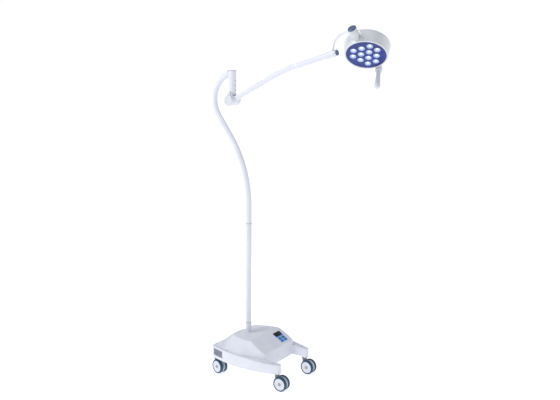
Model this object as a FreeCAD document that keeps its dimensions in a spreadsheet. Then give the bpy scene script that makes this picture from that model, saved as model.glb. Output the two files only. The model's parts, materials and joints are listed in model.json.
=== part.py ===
import FreeCAD, Part
import math
import os
import re
import Sketcher

# Mobile examination lamp: a wheeled base, an S-shaped column, a friction arm and a round LED head.
# The origin is on the floor under the column, +X points to the front of the base, +Z up.

V = FreeCAD.Vector
ORIGIN = V(0, 0, 0)
X_AXIS = V(1, 0, 0)
Y_AXIS = V(0, 1, 0)
Z_AXIS = V(0, 0, 1)

doc = FreeCAD.newDocument("examination_lamp")
sheet = doc.addObject("Spreadsheet::Sheet", "dims")

SIZES = {
    # running and assembly clearances
    "run_gap": 0.05, "fit_gap": 0.3, "part_gap": 0.5,
    # cover of the base
    "cover_wall": 3, "skirt_z": 85, "edge_z": 147, "rear_x": -140, "panel_x": 200, "tip_x": 294,
    "rear_half": 142, "tip_half": 147, "side_bend": 600, "root_inner": 130, "tip_inner": 117,
    "corner_round": 12, "ridge_x": 110, "ridge_z": 218, "panel_low_z": 165, "roof_drop": 0.12,
    "hump_top_z": 224, "hump_waist": 60,
    # chassis, ballast and electrics
    "plate_t": 6, "plate_z": 88, "plate_inset": 9, "ballast_len": 145, "ballast_w": 200, "ballast_t": 34,
    "ballast_x": 44, "battery_len": 94, "battery_w": 151, "battery_t": 65, "battery_x": 24,
    "supply_len": 58, "supply_w": 110, "supply_t": 38, "supply_x": -108,
    "inlet_w": 50, "inlet_t": 31, "inlet_y": 32, "inlet_z": 116, "switch_y": -26, "switch_w": 24,
    "switch_t": 15, "switch_gap": 0.9,
    # side grilles
    "grille_len": 76, "grille_t": 38, "grille_x": -82, "grille_y": 158.5, "grille_z": 119,
    "grille_turn": 16, "grille_slots": 6,
    # screws of the cover
    "screw_r": 2.5, "screw_rear_x": -20, "screw_rear_y": 165, "screw_front_x": 252, "screw_front_y": 141,
    # control panel on the slope
    "panel_len": 68, "panel_w": 58, "panel_y": 74, "panel_start": 21, "display_len": 24,
    "display_w": 46, "key_len": 13, "key_w": 19, "board_drop": 14,
    # column
    "column_r": 14.5, "column_wall": 1.5, "stub_top": 262, "joint_z": 803.5, "neck_z": 894,
    "lean_angle": 36, "lean_bend": 600, "lean_run": 141, "top_bend": 140, "top_turn": 72,
    "ring_t": 5, "cable_r": 3.5, "socket_flange": 42, "socket_wall": 1,
    # swivel sleeve and hub; the fork bridge stands behind the arm
    "bridge_back": 13, "bridge_front": 5, "bridge_t": 12,
    "sleeve_r": 20, "sleeve_low": 1485, "sleeve_top": 1591, "spindle_r": 12.5, "bush_wall": 2.5,
    "flange_t": 1.5, "set_screw_r": 3, "hub_z": 1440, "hub_r": 27, "hub_half": 38.5, "hub_cap_t": 6,
    "lug_half": 14, "pivot_r": 6, "washer_t": 1.5,
    # arm
    "arm_rise": 26.2, "arm_droop": 15.3, "arm_r": 13, "arm_wall": 1.5, "arm_run": 288,
    "arm_bend": 700, "arm_end_run": 192, "arm_start": 31, "block_r": 16, "block_len": 38, "cap_r": 13.5,
    "cap_len": 14,
    # yoke rod and knuckle
    "rod_r": 5, "rod_seat": 5, "rod_bend": 78, "rod_reach": 114, "rod_lift": 96.4, "yoke_swing": -6.5,
    "knuckle_r": 20, "knuckle_half": 26, "knuckle_lean": 46, "knuckle_cap_t": 12, "journal_len": 10,
    # lamp head
    "face_r": 96.6, "rim_r": 102, "back_r": 110.5, "head_depth": 57, "head_wall": 2.5, "lip": 3,
    "head_lean": 33.7, "head_turn": 16.2, "pivot_back": 19.3, "bracket_gap": 8.5, "neck_len": 8.5,
    "lens_r": 15, "lens_pitch": 42, "lens_depth": 15, "panel_t": 2.5, "board_t": 1.6, "sink_t": 5,
    "fin_t": 2.5, "fin_len": 110, "fin_lift": 22, "fin_gap": 12,
    # handle
    "handle_out": 20, "handle_side": -5, "handle_len": 98, "handle_r": 12, "collar_r": 17, "collar_len": 18,
    # casters
    "wheel_r": 37.5, "tyre_t": 7, "wheel_w": 15, "wheel_gap": 16, "trail": 28.5, "stem_r": 5.5,
    "front_stem_x": 274.5, "front_stem_y": 132, "rear_stem_x": -121, "rear_stem_y": 125.5, "axle_r": 4,
    "web_r": 20,
}
for row, (alias, value) in enumerate(SIZES.items(), start=1):
    sheet.set(f"A{row}", alias)
    sheet.set(f"B{row}", str(value))
    sheet.setAlias(f"B{row}", alias)
doc.recompute()

parts = []


def size(alias):
    """The number in a named cell."""
    return float(sheet.get(alias))


def formula(text):
    """A cell formula: every alias in the text is read from the sheet."""
    def name_cell(word):
        return "dims." + word[0] if word[0] in SIZES else word[0]
    return re.sub(r"[a-z]+(?:_[a-z]+)*", name_cell, str(text))


def value(text):
    """The number that a formula gives now."""
    return float(sheet.evalExpression(str(text)))


def bind(item, target, text):
    item.setExpression(target, formula(text))


def new(kind, label):
    item = doc.addObject(kind, label)
    item.Label = label
    return item


def node(item, label, placement=None):
    """Name a finished sub-part, and put it in its place."""
    item.Label = label
    if placement is not None:
        item.Placement = placement
    parts.append(item)
    return item


def put(item, at, axis="Z"):
    turns = {"X": FreeCAD.Rotation(Y_AXIS, 90), "Y": FreeCAD.Rotation(X_AXIS, -90), "Z": FreeCAD.Rotation()}
    item.Placement = FreeCAD.Placement(ORIGIN, turns[axis])
    for letter, text in zip("xyz", at):
        bind(item, f"Placement.Base.{letter}", text)
    return item


def rod(label, radius, length, at=(0, 0, 0), axis="Z"):
    item = new("Part::Cylinder", label)
    bind(item, "Radius", radius)
    bind(item, "Height", length)
    return put(item, at, axis)


def cone(label, radius, end_radius, length, at=(0, 0, 0), axis="Z"):
    item = new("Part::Cone", label)
    bind(item, "Radius1", radius)
    bind(item, "Radius2", end_radius)
    bind(item, "Height", length)
    return put(item, at, axis)


def box(label, lengths, at):
    """A box; `at` is the middle of its lowest face."""
    item = new("Part::Box", label)
    for side, text in zip(("Length", "Width", "Height"), lengths):
        bind(item, side, text)
    return put(item, (f"{at[0]} - ({lengths[0]}) / 2", f"{at[1]} - ({lengths[1]}) / 2", at[2]))


def fuse(label, items):
    item = new("Part::MultiFuse", label)
    item.Shapes = items
    return item


def cut(label, base, tools):
    item = new("Part::Cut", label)
    item.Base = base
    item.Tool = tools[0] if len(tools) == 1 else fuse(label + "_cutter", tools)
    return item


def group(label, items):
    item = new("Part::Compound", label)
    item.Links = items
    return item


def tube(label, radius, bore, length, at=(0, 0, 0), axis="Z"):
    outer = rod(label + "_outer", radius, length, at, axis)
    return cut(label, outer, [rod(label + "_bore", bore, length, at, axis)])


def sketch_in(body, plane, lift=None):
    sketch = body.newObject("Sketcher::SketchObject", body.Label + "_sketch")
    support = [item for item in body.Origin.OriginFeatures if item.Role == plane][0]
    sketch.AttachmentSupport = [(support, "")]
    sketch.MapMode = "FlatFace"
    if lift is not None:
        bind(sketch, "AttachmentOffset.Base.z", lift)
    return sketch


def limit(sketch, kind, *where, text):
    index = sketch.addConstraint(Sketcher.Constraint(kind, *where, value(text)))
    bind(sketch, f"Constraints[{index}]", text)


def pin_down(sketch, edge, end, point):
    limit(sketch, "DistanceX", -1, 1, edge, end, text=point[0])
    limit(sketch, "DistanceY", -1, 1, edge, end, text=point[1])


def draw_outline(sketch, points):
    """A closed outline of straight edges through points given as formulas."""
    corners = [V(value(x), value(y), 0) for x, y in points]
    first = sketch.GeometryCount
    count = len(corners)
    for i in range(count):
        sketch.addGeometry(Part.LineSegment(corners[i], corners[(i + 1) % count]))
    for i in range(count):
        sketch.addConstraint(Sketcher.Constraint("Coincident", first + i, 2, first + (i + 1) % count, 1))
        pin_down(sketch, first + i, 1, points[i])


def draw_circle(sketch, centre, radius):
    circle = Part.Circle(V(value(centre[0]), value(centre[1]), 0), Z_AXIS, value(radius))
    edge = sketch.addGeometry(circle)
    pin_down(sketch, edge, 3, centre)
    limit(sketch, "Radius", edge, text=radius)


def pad(body, sketch, length, middle=False, taper=None):
    item = body.newObject("PartDesign::Pad", body.Label + "_pad")
    item.Profile = sketch
    item.Midplane = middle
    bind(item, "Length", length)
    if taper is not None:
        item.TaperAngle = taper
    sketch.Visibility = False
    return item


def pocket(body, sketch, length, middle=False, reverse=False):
    item = body.newObject("PartDesign::Pocket", body.Label + "_pocket")
    item.Profile = sketch
    item.Midplane = middle
    item.Reversed = reverse
    bind(item, "Length", length)
    return item


def turned(label, points):
    """A body of revolution about Z, from (radius, height) formulas."""
    body = new("PartDesign::Body", label)
    sketch = sketch_in(body, "XZ_Plane")
    draw_outline(sketch, points)
    item = body.newObject("PartDesign::Revolution", label + "_turn")
    item.Profile = sketch
    item.ReferenceAxis = (sketch, ["V_Axis"])
    item.Angle = 360
    return body


def plate(label, points, lift, thickness, holes=()):
    body = new("PartDesign::Body", label)
    sketch = sketch_in(body, "XY_Plane", lift)
    draw_outline(sketch, points)
    for x, y, radius in holes:
        draw_circle(sketch, (x, y), radius)
    pad(body, sketch, thickness)
    return body


def repeat_round(body, items, count):
    ring = body.newObject("PartDesign::PolarPattern", body.Label + "_ring")
    ring.Originals = items
    ring.Axis = ([item for item in body.Origin.OriginFeatures if item.Role == "Z_Axis"][0], [""])
    ring.Angle = 360
    ring.Occurrences = count
    body.Tip = ring
    return ring


def piped(label, start, heading, runs, radii):
    """A pipe in the XZ plane: straight runs joined by tangent bends.

    start is an (x, z) pair of formulas, heading the first direction in degrees above +X, and runs
    alternates ("run", length) with ("bend", radius, angle, side), side +1 turning left.
    """
    body = new("PartDesign::Body", label)
    path = sketch_in(body, "XZ_Plane")
    point = V(value(start[0]), value(start[1]), 0)
    angle = math.radians(value(heading))
    last = None
    for step in runs:
        ahead = V(math.cos(angle), math.sin(angle), 0)
        if step[0] == "run":
            end = point + ahead * value(step[1])
            edge = path.addGeometry(Part.LineSegment(point, end))
            limit(path, "Distance", edge, text=step[1])
            first, final = 1, 2
        else:
            turn = math.radians(value(step[2]))
            side = step[3]
            normal = V(-ahead.y, ahead.x, 0) * side
            centre = point + normal * value(step[1])
            spread = math.atan2(point.y - centre.y, point.x - centre.x)
            low, high = (spread, spread + turn) if side > 0 else (spread - turn, spread)
            circle = Part.Circle(centre, Z_AXIS, value(step[1]))
            edge = path.addGeometry(Part.ArcOfCircle(circle, low, high))
            limit(path, "Radius", edge, text=step[1])
            index = path.addConstraint(Sketcher.Constraint("Angle", edge, turn))
            bind(path, f"Constraints[{index}]", f"({step[2]}) * 1 deg")
            first, final = (1, 2) if side > 0 else (2, 1)
            tail = high if side > 0 else low
            end = centre + V(math.cos(tail), math.sin(tail), 0) * value(step[1])
            angle += side * turn
        if last is None:
            pin_down(path, edge, first, start)
            index = path.addConstraint(Sketcher.Constraint("Angle", edge, angle))
            bind(path, f"Constraints[{index}]", f"({heading}) * 1 deg")
        else:
            path.addConstraint(Sketcher.Constraint("Tangent", last[0], last[1], edge, first))
        last = (edge, final)
        point = end
    # the section stands square to the first run
    section = body.newObject("Sketcher::SketchObject", label + "_section")
    section.AttachmentSupport = [(path, "Edge1")]
    section.MapMode = "NormalToEdge"
    for radius in radii:
        edge = section.addGeometry(Part.Circle(ORIGIN, Z_AXIS, value(radius)))
        section.addConstraint(Sketcher.Constraint("Coincident", edge, 3, -1, 1))
        limit(section, "Radius", edge, text=radius)
    pipe = body.newObject("PartDesign::AdditivePipe", label + "_pipe")
    pipe.Profile = section
    pipe.Spine = (path, [])
    return body


# ---- base -------------------------------------------------------------------------------------

def outline_points(inset):
    """Plan corners of the base, half a turn from the near rear corner, shrunk by `inset`."""
    near = [
        (f"rear_x + {inset}", f"-(rear_half - {inset})"),
        (f"tip_x - {inset}", f"-(tip_half - {inset})"),
        (f"tip_x - {inset}", f"-(tip_inner + {inset})"),
        (f"panel_x - {inset}", f"-(root_inner + {inset})"),
    ]
    far = [(x, y[2:-1] if y.startswith("-(") else y) for x, y in reversed(near)]
    return near + far


def draw_base_outline(sketch, inset):
    """The barrel-shaped outline of the base with its two front legs."""
    points = outline_points(inset)
    count = len(points)
    corners = [V(value(x), value(y), 0) for x, y in points]
    bend = f"side_bend - {inset}"
    for i in range(count):
        a = corners[i]
        b = corners[(i + 1) % count]
        if i not in (0, count - 2):
            sketch.addGeometry(Part.LineSegment(a, b))
            continue
        # the long sides bow outwards
        side = -1 if i == 0 else 1
        middle = (a + b) * 0.5
        chord = (b - a).Length / 2
        rise = math.sqrt(value(bend) ** 2 - chord ** 2)
        outward = V(-(b - a).y, (b - a).x, 0).normalize() * -1
        centre = middle - outward * rise
        top = centre + outward * value(bend)
        sketch.addGeometry(Part.Arc(a, top, b))
    for i in range(count):
        here = (i, 1)
        before = ((i - 1) % count, 2)
        sketch.addConstraint(Sketcher.Constraint("Coincident", before[0], before[1], here[0], here[1]))
        pin_down(sketch, here[0], here[1], points[i])
    for i in (0, count - 2):
        limit(sketch, "Radius", i, text=bend)


def edges_where(shape, test):
    return [f"Edge{i}" for i, edge in enumerate(shape.Edges, start=1) if test(edge)]


def upright(edge):
    ends = [vertex.Point for vertex in edge.Vertexes]
    return len(ends) == 2 and (ends[0] - ends[1]).cross(Z_AXIS).Length < 1e-6


def base_block(label, inset, lowest, highest, roof_drop):
    """The outer or inner form of the cover: skirt with legs, hump, sloped roof and panel slope."""
    body = new("PartDesign::Body", label)
    sketch = sketch_in(body, "XY_Plane", lowest)
    draw_base_outline(sketch, inset)
    skirt = pad(body, sketch, f"{highest} - ({lowest})")
    doc.recompute()
    rounding = body.newObject("PartDesign::Fillet", label + "_corners")
    outer = [e for e in edges_where(skirt.Shape, upright)]
    keep = []
    for name in outer:
        corner = skirt.Shape.getElement(name).Vertexes[0].Point
        if abs(corner.x - value(f"panel_x - {inset}")) > 1:
            keep.append(name)
    rounding.Base = (skirt, keep)
    bind(rounding, "Radius", f"corner_round - {inset}")
    low = sketch_in(body, "XY_Plane", f"{highest} - 1")
    high = sketch_in(body, "XY_Plane", "hump_top_z")
    near_low = [(f"rear_x + 6 + {inset}", f"-(rear_half - 40 - {inset})"),
                (f"rear_x + 26 + {inset}", f"-(rear_half - 6 - {inset})"),
                ("hump_waist", f"-(root_inner + 44 - {inset})"),
                (f"panel_x - {inset}", f"-(root_inner + 4 - {inset})")]
    near_high = [(f"rear_x + 93 + {inset}", f"-(root_inner - 118 - {inset})"),
                 (f"rear_x + 133 + {inset}", f"-(root_inner - 75 - {inset})"),
                 ("hump_waist", f"-(root_inner - 12 - {inset})"),
                 (f"panel_x - {inset}", f"-(root_inner - 12 - {inset})")]
    for plan, corners in ((low, near_low), (high, near_high)):
        mirrored = [(x, y[2:-1]) for x, y in reversed(corners)]
        draw_outline(plan, corners + mirrored)
    hump = body.newObject("PartDesign::AdditiveLoft", label + "_hump")
    hump.Profile = low
    hump.Sections = [high]
    hump.Ruled = True
    roof = sketch_in(body, "XZ_Plane")
    top = "hump_top_z + 10"
    draw_outline(roof, [
        ("rear_x - 20", f"ridge_z - {roof_drop} - roof_drop * (ridge_x - rear_x + 20)"),
        ("ridge_x", f"ridge_z - {roof_drop}"),
        (f"panel_x - {inset}",
         f"panel_low_z - {roof_drop} + {inset} * (ridge_z - panel_low_z) / (panel_x - ridge_x)"),
        ("panel_x + 20", f"panel_low_z - {roof_drop}"),
        ("panel_x + 20", top),
        ("rear_x - 20", top),
    ])
    pocket(body, roof, "side_bend", middle=True)
    return body


SLOPE = math.degrees(math.atan2(size("ridge_z") - size("panel_low_z"), size("panel_x") - size("ridge_x")))
PANEL = FreeCAD.Placement(V(size("ridge_x"), 0, size("ridge_z")), FreeCAD.Rotation(Y_AXIS, SLOPE))
KEYS = {
    "key_power": ("panel_start + display_len + 18.5", "panel_y - panel_w / 4"),
    "key_mode": ("panel_start + display_len + 18.5", "panel_y + panel_w / 4"),
    "key_down": ("panel_start + display_len + 35.5", "panel_y - panel_w / 4"),
    "key_up": ("panel_start + display_len + 35.5", "panel_y + panel_w / 4"),
}


def in_frame(item, frame):
    item.Placement = frame
    return item


def build_cover():
    outer = base_block("cover_outside", 0, "skirt_z", "edge_z", 0)
    inner = base_block("cover_inside", "cover_wall", "skirt_z - 1", "edge_z - cover_wall", 3.3)
    middle = "panel_start + panel_len / 2"
    hole = box("panel_hole_box", ("panel_len", "panel_w", 30), (middle, "panel_y", -15))
    window = in_frame(group("panel_hole", [hole]), PANEL)
    mast = rod("mast_hole", "column_r + socket_wall + part_gap", 100, (0, 0, "edge_z"))
    inlet = box("inlet_hole", (20, "inlet_w + 2 * fit_gap", "inlet_t + 2 * fit_gap"),
                ("rear_x", "inlet_y", "inlet_z - inlet_t / 2 - fit_gap"))
    switch = box("switch_hole", (20, "switch_w + 2 * switch_gap", "switch_t + 2 * fit_gap"),
                 ("rear_x", "switch_y", "inlet_z - switch_t / 2 - fit_gap"))
    openings = [window, mast, inlet, switch]
    for side in (-1, 1):
        hole = box(f"grille_hole_{'near' if side < 0 else 'far'}",
                   ("grille_len + 2 * fit_gap", 30, "grille_t + 2 * fit_gap"),
                   (0, 0, "-grille_t / 2 - fit_gap"))
        openings.append(in_frame(group(hole.Label + "_turned", [hole]), grille_frame(side)))
    for i, (x, y) in enumerate(SCREW_PLACES):
        openings.append(rod(f"screw_hole_{i}", "screw_r + fit_gap", 60, (x, y, "edge_z - 30")))
    shell = cut("cover_shell", outer, [inner])
    return node(cut("base_cover", shell, openings), "base_cover")


def grille_frame(side):
    """The middle of a side grille, its X axis along the wall and Y outwards."""
    turn = FreeCAD.Rotation(Z_AXIS, side * size("grille_turn"))
    if side < 0:
        turn = turn.multiply(FreeCAD.Rotation(Z_AXIS, 180))
    return FreeCAD.Placement(V(size("grille_x"), side * size("grille_y"), size("grille_z")), turn)


SCREW_PLACES = [("screw_rear_x", "-screw_rear_y"), ("screw_rear_x", "screw_rear_y"),
                ("screw_front_x", "-screw_front_y"), ("screw_front_x", "screw_front_y")]


def build_grilles():
    both = []
    for side, name in ((-1, "near"), (1, "far")):
        body = new("PartDesign::Body", f"grille_{name}")
        frame = sketch_in(body, "XZ_Plane")
        half = "grille_len / 2"
        draw_outline(frame, [(f"-({half})", "-grille_t / 2"), (half, "-grille_t / 2"),
                             (half, "grille_t / 2"), (f"-({half})", "grille_t / 2")])
        pad(body, frame, 4)
        slot = sketch_in(body, "XZ_Plane")
        low = "-grille_t / 2 + 4"
        draw_outline(slot, [("-grille_len / 2 + 6", low), ("grille_len / 2 - 6", low),
                            ("grille_len / 2 - 6", f"{low} + 2.6"), ("-grille_len / 2 + 6", f"{low} + 2.6")])
        first = pocket(body, slot, 20, middle=True)
        doc.recompute()
        rows = body.newObject("PartDesign::LinearPattern", f"grille_{name}_rows")
        rows.Originals = [first]
        rows.Direction = ([item for item in body.Origin.OriginFeatures if item.Role == "Z_Axis"][0], [""])
        bind(rows, "Length", "grille_t - 8 - 2.6")
        bind(rows, "Occurrences", "grille_slots")
        body.Tip = rows
        body.Placement = grille_frame(side)
        both.append(body)
    return node(group("side_grilles", both), "side_grilles")


def build_chassis():
    inset = "plate_inset"
    near = [(f"rear_x + {inset}", "-(rear_half - 5)"), ("-40", f"-(rear_half + 14 - {inset})"),
            ("panel_x", f"-(rear_half + 18 - {inset})"), (f"tip_x - {inset}", f"-(tip_half - {inset} + 3)"),
            (f"tip_x - {inset}", f"-(tip_inner + 6)"), ("panel_x - 6", "-(root_inner + 6)")]
    far = [(x, y.lstrip("-")) for x, y in reversed(near)]
    holes = [(x, y, "stem_r") for x, y in stem_cells().values()]
    body = plate("chassis_plate", near + far, "plate_z", "plate_t", holes)
    return node(body, "chassis_plate")


def stem_cells():
    return {
        "front_near": ("front_stem_x", "-front_stem_y"), "front_far": ("front_stem_x", "front_stem_y"),
        "rear_near": ("rear_stem_x", "-rear_stem_y"), "rear_far": ("rear_stem_x", "rear_stem_y"),
    }


def build_inside():
    floor = "plate_z + plate_t"
    ballast = box("ballast_form", ("ballast_len", "ballast_w", "ballast_t"),
                  ("ballast_x + ballast_len / 2", 0, floor))
    node(ballast, "ballast_block")
    case = box("battery_case", ("battery_len", "battery_w", "battery_t - 6"),
               ("battery_x + battery_len / 2", 0, f"{floor} + ballast_t"))
    poles = [box(f"battery_pole_{i}", (6, 8, 6),
                 ("battery_x + 10", f"({side}) * (battery_w / 2 - 14)", f"{floor} + ballast_t + battery_t - 6"))
             for i, side in enumerate((-1, 1))]
    node(fuse("battery", [case] + poles), "battery")
    body = box("supply_case", ("supply_len", "supply_w", "supply_t"), ("supply_x + supply_len / 2", 0, floor))
    vents = [box(f"supply_vent_{i}", (3, "supply_w - 20", 4),
                 (f"supply_x + 10 + {i} * 9", 0, f"{floor} + supply_t - 3"))
             for i in range(5)]
    node(cut("power_supply", body, vents), "power_supply")
    middle = "panel_start + panel_len / 2"
    top = "board_t - board_drop"
    board = box("board_sheet", ("panel_len - 4", "panel_w + 26", "board_t"), (middle, "panel_y", "-board_drop"))
    chips = [box(f"board_chip_{i}", (10, 10, 2.5),
                 (f"panel_start + 14 + {i} * 18", "panel_y - panel_w / 4", top))
             for i in range(3)]
    posts = [rod(f"board_post_{i}{side}", 2.5, "board_drop - board_t - cover_wall",
                 (f"{middle} + ({i}) * (panel_len / 2 - 6)", f"panel_y + ({side}) * (panel_w / 2 + 8)", top))
             for i in (-1, 1) for side in (-1, 1)]
    node(fuse("control_board", [board] + chips + posts), "control_board", PANEL)


def build_mains():
    face = "rear_x"
    flange = box("inlet_flange", (2.5, "inlet_w + 8", "inlet_t + 6"),
                 (f"{face} - 1.25", "inlet_y", "inlet_z - inlet_t / 2 - 3"))
    shell = box("inlet_shell", (15, "inlet_w", "inlet_t"),
                (f"{face} + 7.5", "inlet_y", "inlet_z - inlet_t / 2"))
    mouth = box("inlet_mouth", (30, 24, 17), (face, "inlet_y", "inlet_z - 8.5"))
    pins = [box(f"inlet_pin_{i}", (7, 2, 4), (f"{face} + 9.5", f"inlet_y + {y}", f"inlet_z + {z} - 2"))
            for i, (y, z) in enumerate(((-6, 1.5), (0, -2.5), (6, 1.5)))]
    hollow = cut("inlet_hollow", fuse("inlet_solid", [flange, shell]), [mouth])
    back = box("inlet_back", (3, 26, 19), (f"{face} + 13.5", "inlet_y", "inlet_z - 9.5"))
    node(fuse("mains_inlet", [hollow, back] + pins), "mains_inlet")
    rocker = box("rocker_form", (5, "switch_w", "switch_t"), (f"{face} - 0.5", 0, "-switch_t / 2"))
    hinge = rod("rocker_hinge", 2, "switch_t", (f"{face} + 2.5", 0, "-switch_t / 2"))
    valley = rod("rocker_valley", 60, "switch_t + 2", (f"{face} - 60 - 1.6", 0, "-switch_t / 2 - 1"))
    shape = cut("rocker_cut", fuse("rocker_solid", [rocker, hinge]), [valley])
    node(group("mains_rocker", [shape]), "mains_rocker",
         FreeCAD.Placement(V(0, size("switch_y"), size("inlet_z")), FreeCAD.Rotation()))


def build_panel():
    middle = "panel_start + panel_len / 2"
    insert = box("overlay_insert", ("panel_len - 2 * fit_gap", "panel_w - 2 * fit_gap", 3),
                 (middle, "panel_y", -3))
    skin = box("overlay_skin", ("panel_len + 3", "panel_w + 3", 1), (middle, "panel_y", 0))
    display_x = "panel_start + 2 + display_len / 2"
    window = box("overlay_window", ("display_len", "display_w", 10), (display_x, "panel_y", -5))
    gaps = [box(f"{name}_gap", ("key_len + 2 * fit_gap", "key_w + 2 * fit_gap", 10), (x, y, -5))
            for name, (x, y) in KEYS.items()]
    overlay = fuse("overlay_solid", [insert, skin])
    node(cut("control_panel", overlay, [window] + gaps), "control_panel", PANEL)
    glass = box("display_glass", ("display_len", "display_w", 3.4), (display_x, "panel_y", -3))
    case = box("display_case", ("display_len - 4", "display_w - 4", 6), (display_x, "panel_y", -9))
    node(fuse("display_window", [glass, case]), "display_window", PANEL)
    for name, (x, y) in KEYS.items():
        top = box(f"{name}_top", ("key_len", "key_w", 5.5), (x, y, -3.5))
        stem = box(f"{name}_stem", (4, 4, 5), (x, y, -8))
        node(fuse(name, [top, stem]), name, PANEL)


# ---- column -----------------------------------------------------------------------------------

def build_column():
    floor = "plate_z + plate_t"
    outer = "column_r + socket_wall"
    node(turned("column_socket", [
        ("column_r", floor), ("socket_flange", floor), ("socket_flange", f"{floor} + 7"),
        (outer, f"{floor} + 7"), (outer, "stub_top - ring_t / 2"),
        ("column_r", "stub_top - ring_t / 2")]), "column_socket")
    inner = "column_r - column_wall"
    lower_wall = rod("lower_outer", "column_r", f"joint_z - ring_t / 2 - ({floor})", (0, 0, floor))
    lower_bore = rod("lower_bore", inner, f"joint_z + 10 - ({floor})", (0, 0, f"{floor} - 5"))
    node(cut("lower_column", lower_wall, [lower_bore]), "lower_column")
    rings = []
    for name, height in (("low", "stub_top"), ("high", "joint_z")):
        bore = "column_r" if name == "low" else inner
        rings.append(tube(f"ring_{name}", "column_r + 1.6", bore, "ring_t", (0, 0, f"{height} - ring_t / 2")))
    deck = "ridge_z - roof_drop * ridge_x"
    collar = turned("ring_deck", [
        (f"{outer} + 0", f"{deck} - 6"), (f"{outer} + 4", f"{deck} - 6"), (f"{outer} + 4", f"{deck} + 3"),
        (f"{outer} + 2", f"{deck} + 9"), (f"{outer} + 0", f"{deck} + 9")])
    rings.append(cut("ring_deck_seated", collar, [base_tool()]))
    node(group("column_rings", rings), "column_rings")
    bends = [("run", "neck_z - joint_z - ring_t / 2"), ("bend", "lean_bend", "lean_angle", 1),
             ("run", "lean_run"),
             ("bend", "top_bend", "lean_angle + top_turn", -1), ("run", 10)]
    swan = piped("swan_neck", ("0", "joint_z + ring_t / 2"), "90", bends, ["column_r", inner])
    saddle = rod("sleeve_saddle", "sleeve_r", 200, (SLEEVE_X, 0, "sleeve_low"))
    node(cut("upper_column", swan, [saddle]), "upper_column")
    cable_end = ("bend", "top_bend", "lean_angle + top_turn - 3", -1)
    cable = [("run", f"neck_z - ({floor})")] + bends[1:3] + [cable_end]
    node(piped("column_cable", ("0", floor), "90", cable, ["cable_r"]), "column_cable")


# The sleeve stands beside the end of the swan neck.
SLEEVE_X = ("-(lean_bend * (1 - cos(lean_angle * 1 deg)) + lean_run * sin(lean_angle * 1 deg)"
            " + top_bend * (1 - cos(lean_angle * 1 deg))) + top_bend * (1 - cos(top_turn * 1 deg)) + sleeve_r")


def base_tool():
    """The roof of the hump as a solid, for seating the deck ring on it."""
    body = new("PartDesign::Body", "roof_tool")
    sketch = sketch_in(body, "XZ_Plane")
    draw_outline(sketch, [
        ("rear_x", "edge_z"), ("ridge_x", "edge_z"), ("ridge_x", "ridge_z"),
        ("rear_x", "ridge_z - roof_drop * (ridge_x - rear_x)")])
    pad(body, sketch, 120, middle=True)
    return body


def build_sleeve():
    inner = "spindle_r + bush_wall"
    blank = tube("sleeve_blank", "sleeve_r", inner, "sleeve_top - sleeve_low", (SLEEVE_X, 0, "sleeve_low"))
    heights = [f"sleeve_low + 9 + {i} * 24" for i in range(3)]
    holes = [rod(f"set_hole_{i}", "set_screw_r", 12, (f"{SLEEVE_X} + spindle_r", 0, height), "X")
             for i, height in enumerate(heights)]
    node(cut("swivel_sleeve", blank, holes), "swivel_sleeve")
    screws = [rod(f"set_screw_{i}", "set_screw_r", "bush_wall + 6", (f"{SLEEVE_X} + {inner}", 0, height), "X")
              for i, height in enumerate(heights)]
    node(group("sleeve_screws", screws), "sleeve_screws")
    bore = "spindle_r + run_gap"
    low = tube("bush_low", inner, bore, 20, (SLEEVE_X, 0, "sleeve_low"))
    flange = tube("bush_flange", "sleeve_r - 3", bore, "flange_t", (SLEEVE_X, 0, "sleeve_low - flange_t"))
    high = tube("bush_high", inner, bore, 20, (SLEEVE_X, 0, "sleeve_top - 22"))
    node(group("sleeve_bushes", [fuse("bush_flanged", [low, flange]), high]), "sleeve_bushes")
    lid = rod("cap_lid", "sleeve_r", 3, (SLEEVE_X, 0, "sleeve_top"))
    plug = rod("cap_plug", f"{inner} - fit_gap", 2, (SLEEVE_X, 0, "sleeve_top - 2"))
    node(fuse("sleeve_cap", [lid, plug]), "sleeve_cap")


# ---- hub and arm ------------------------------------------------------------------------------

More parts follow.
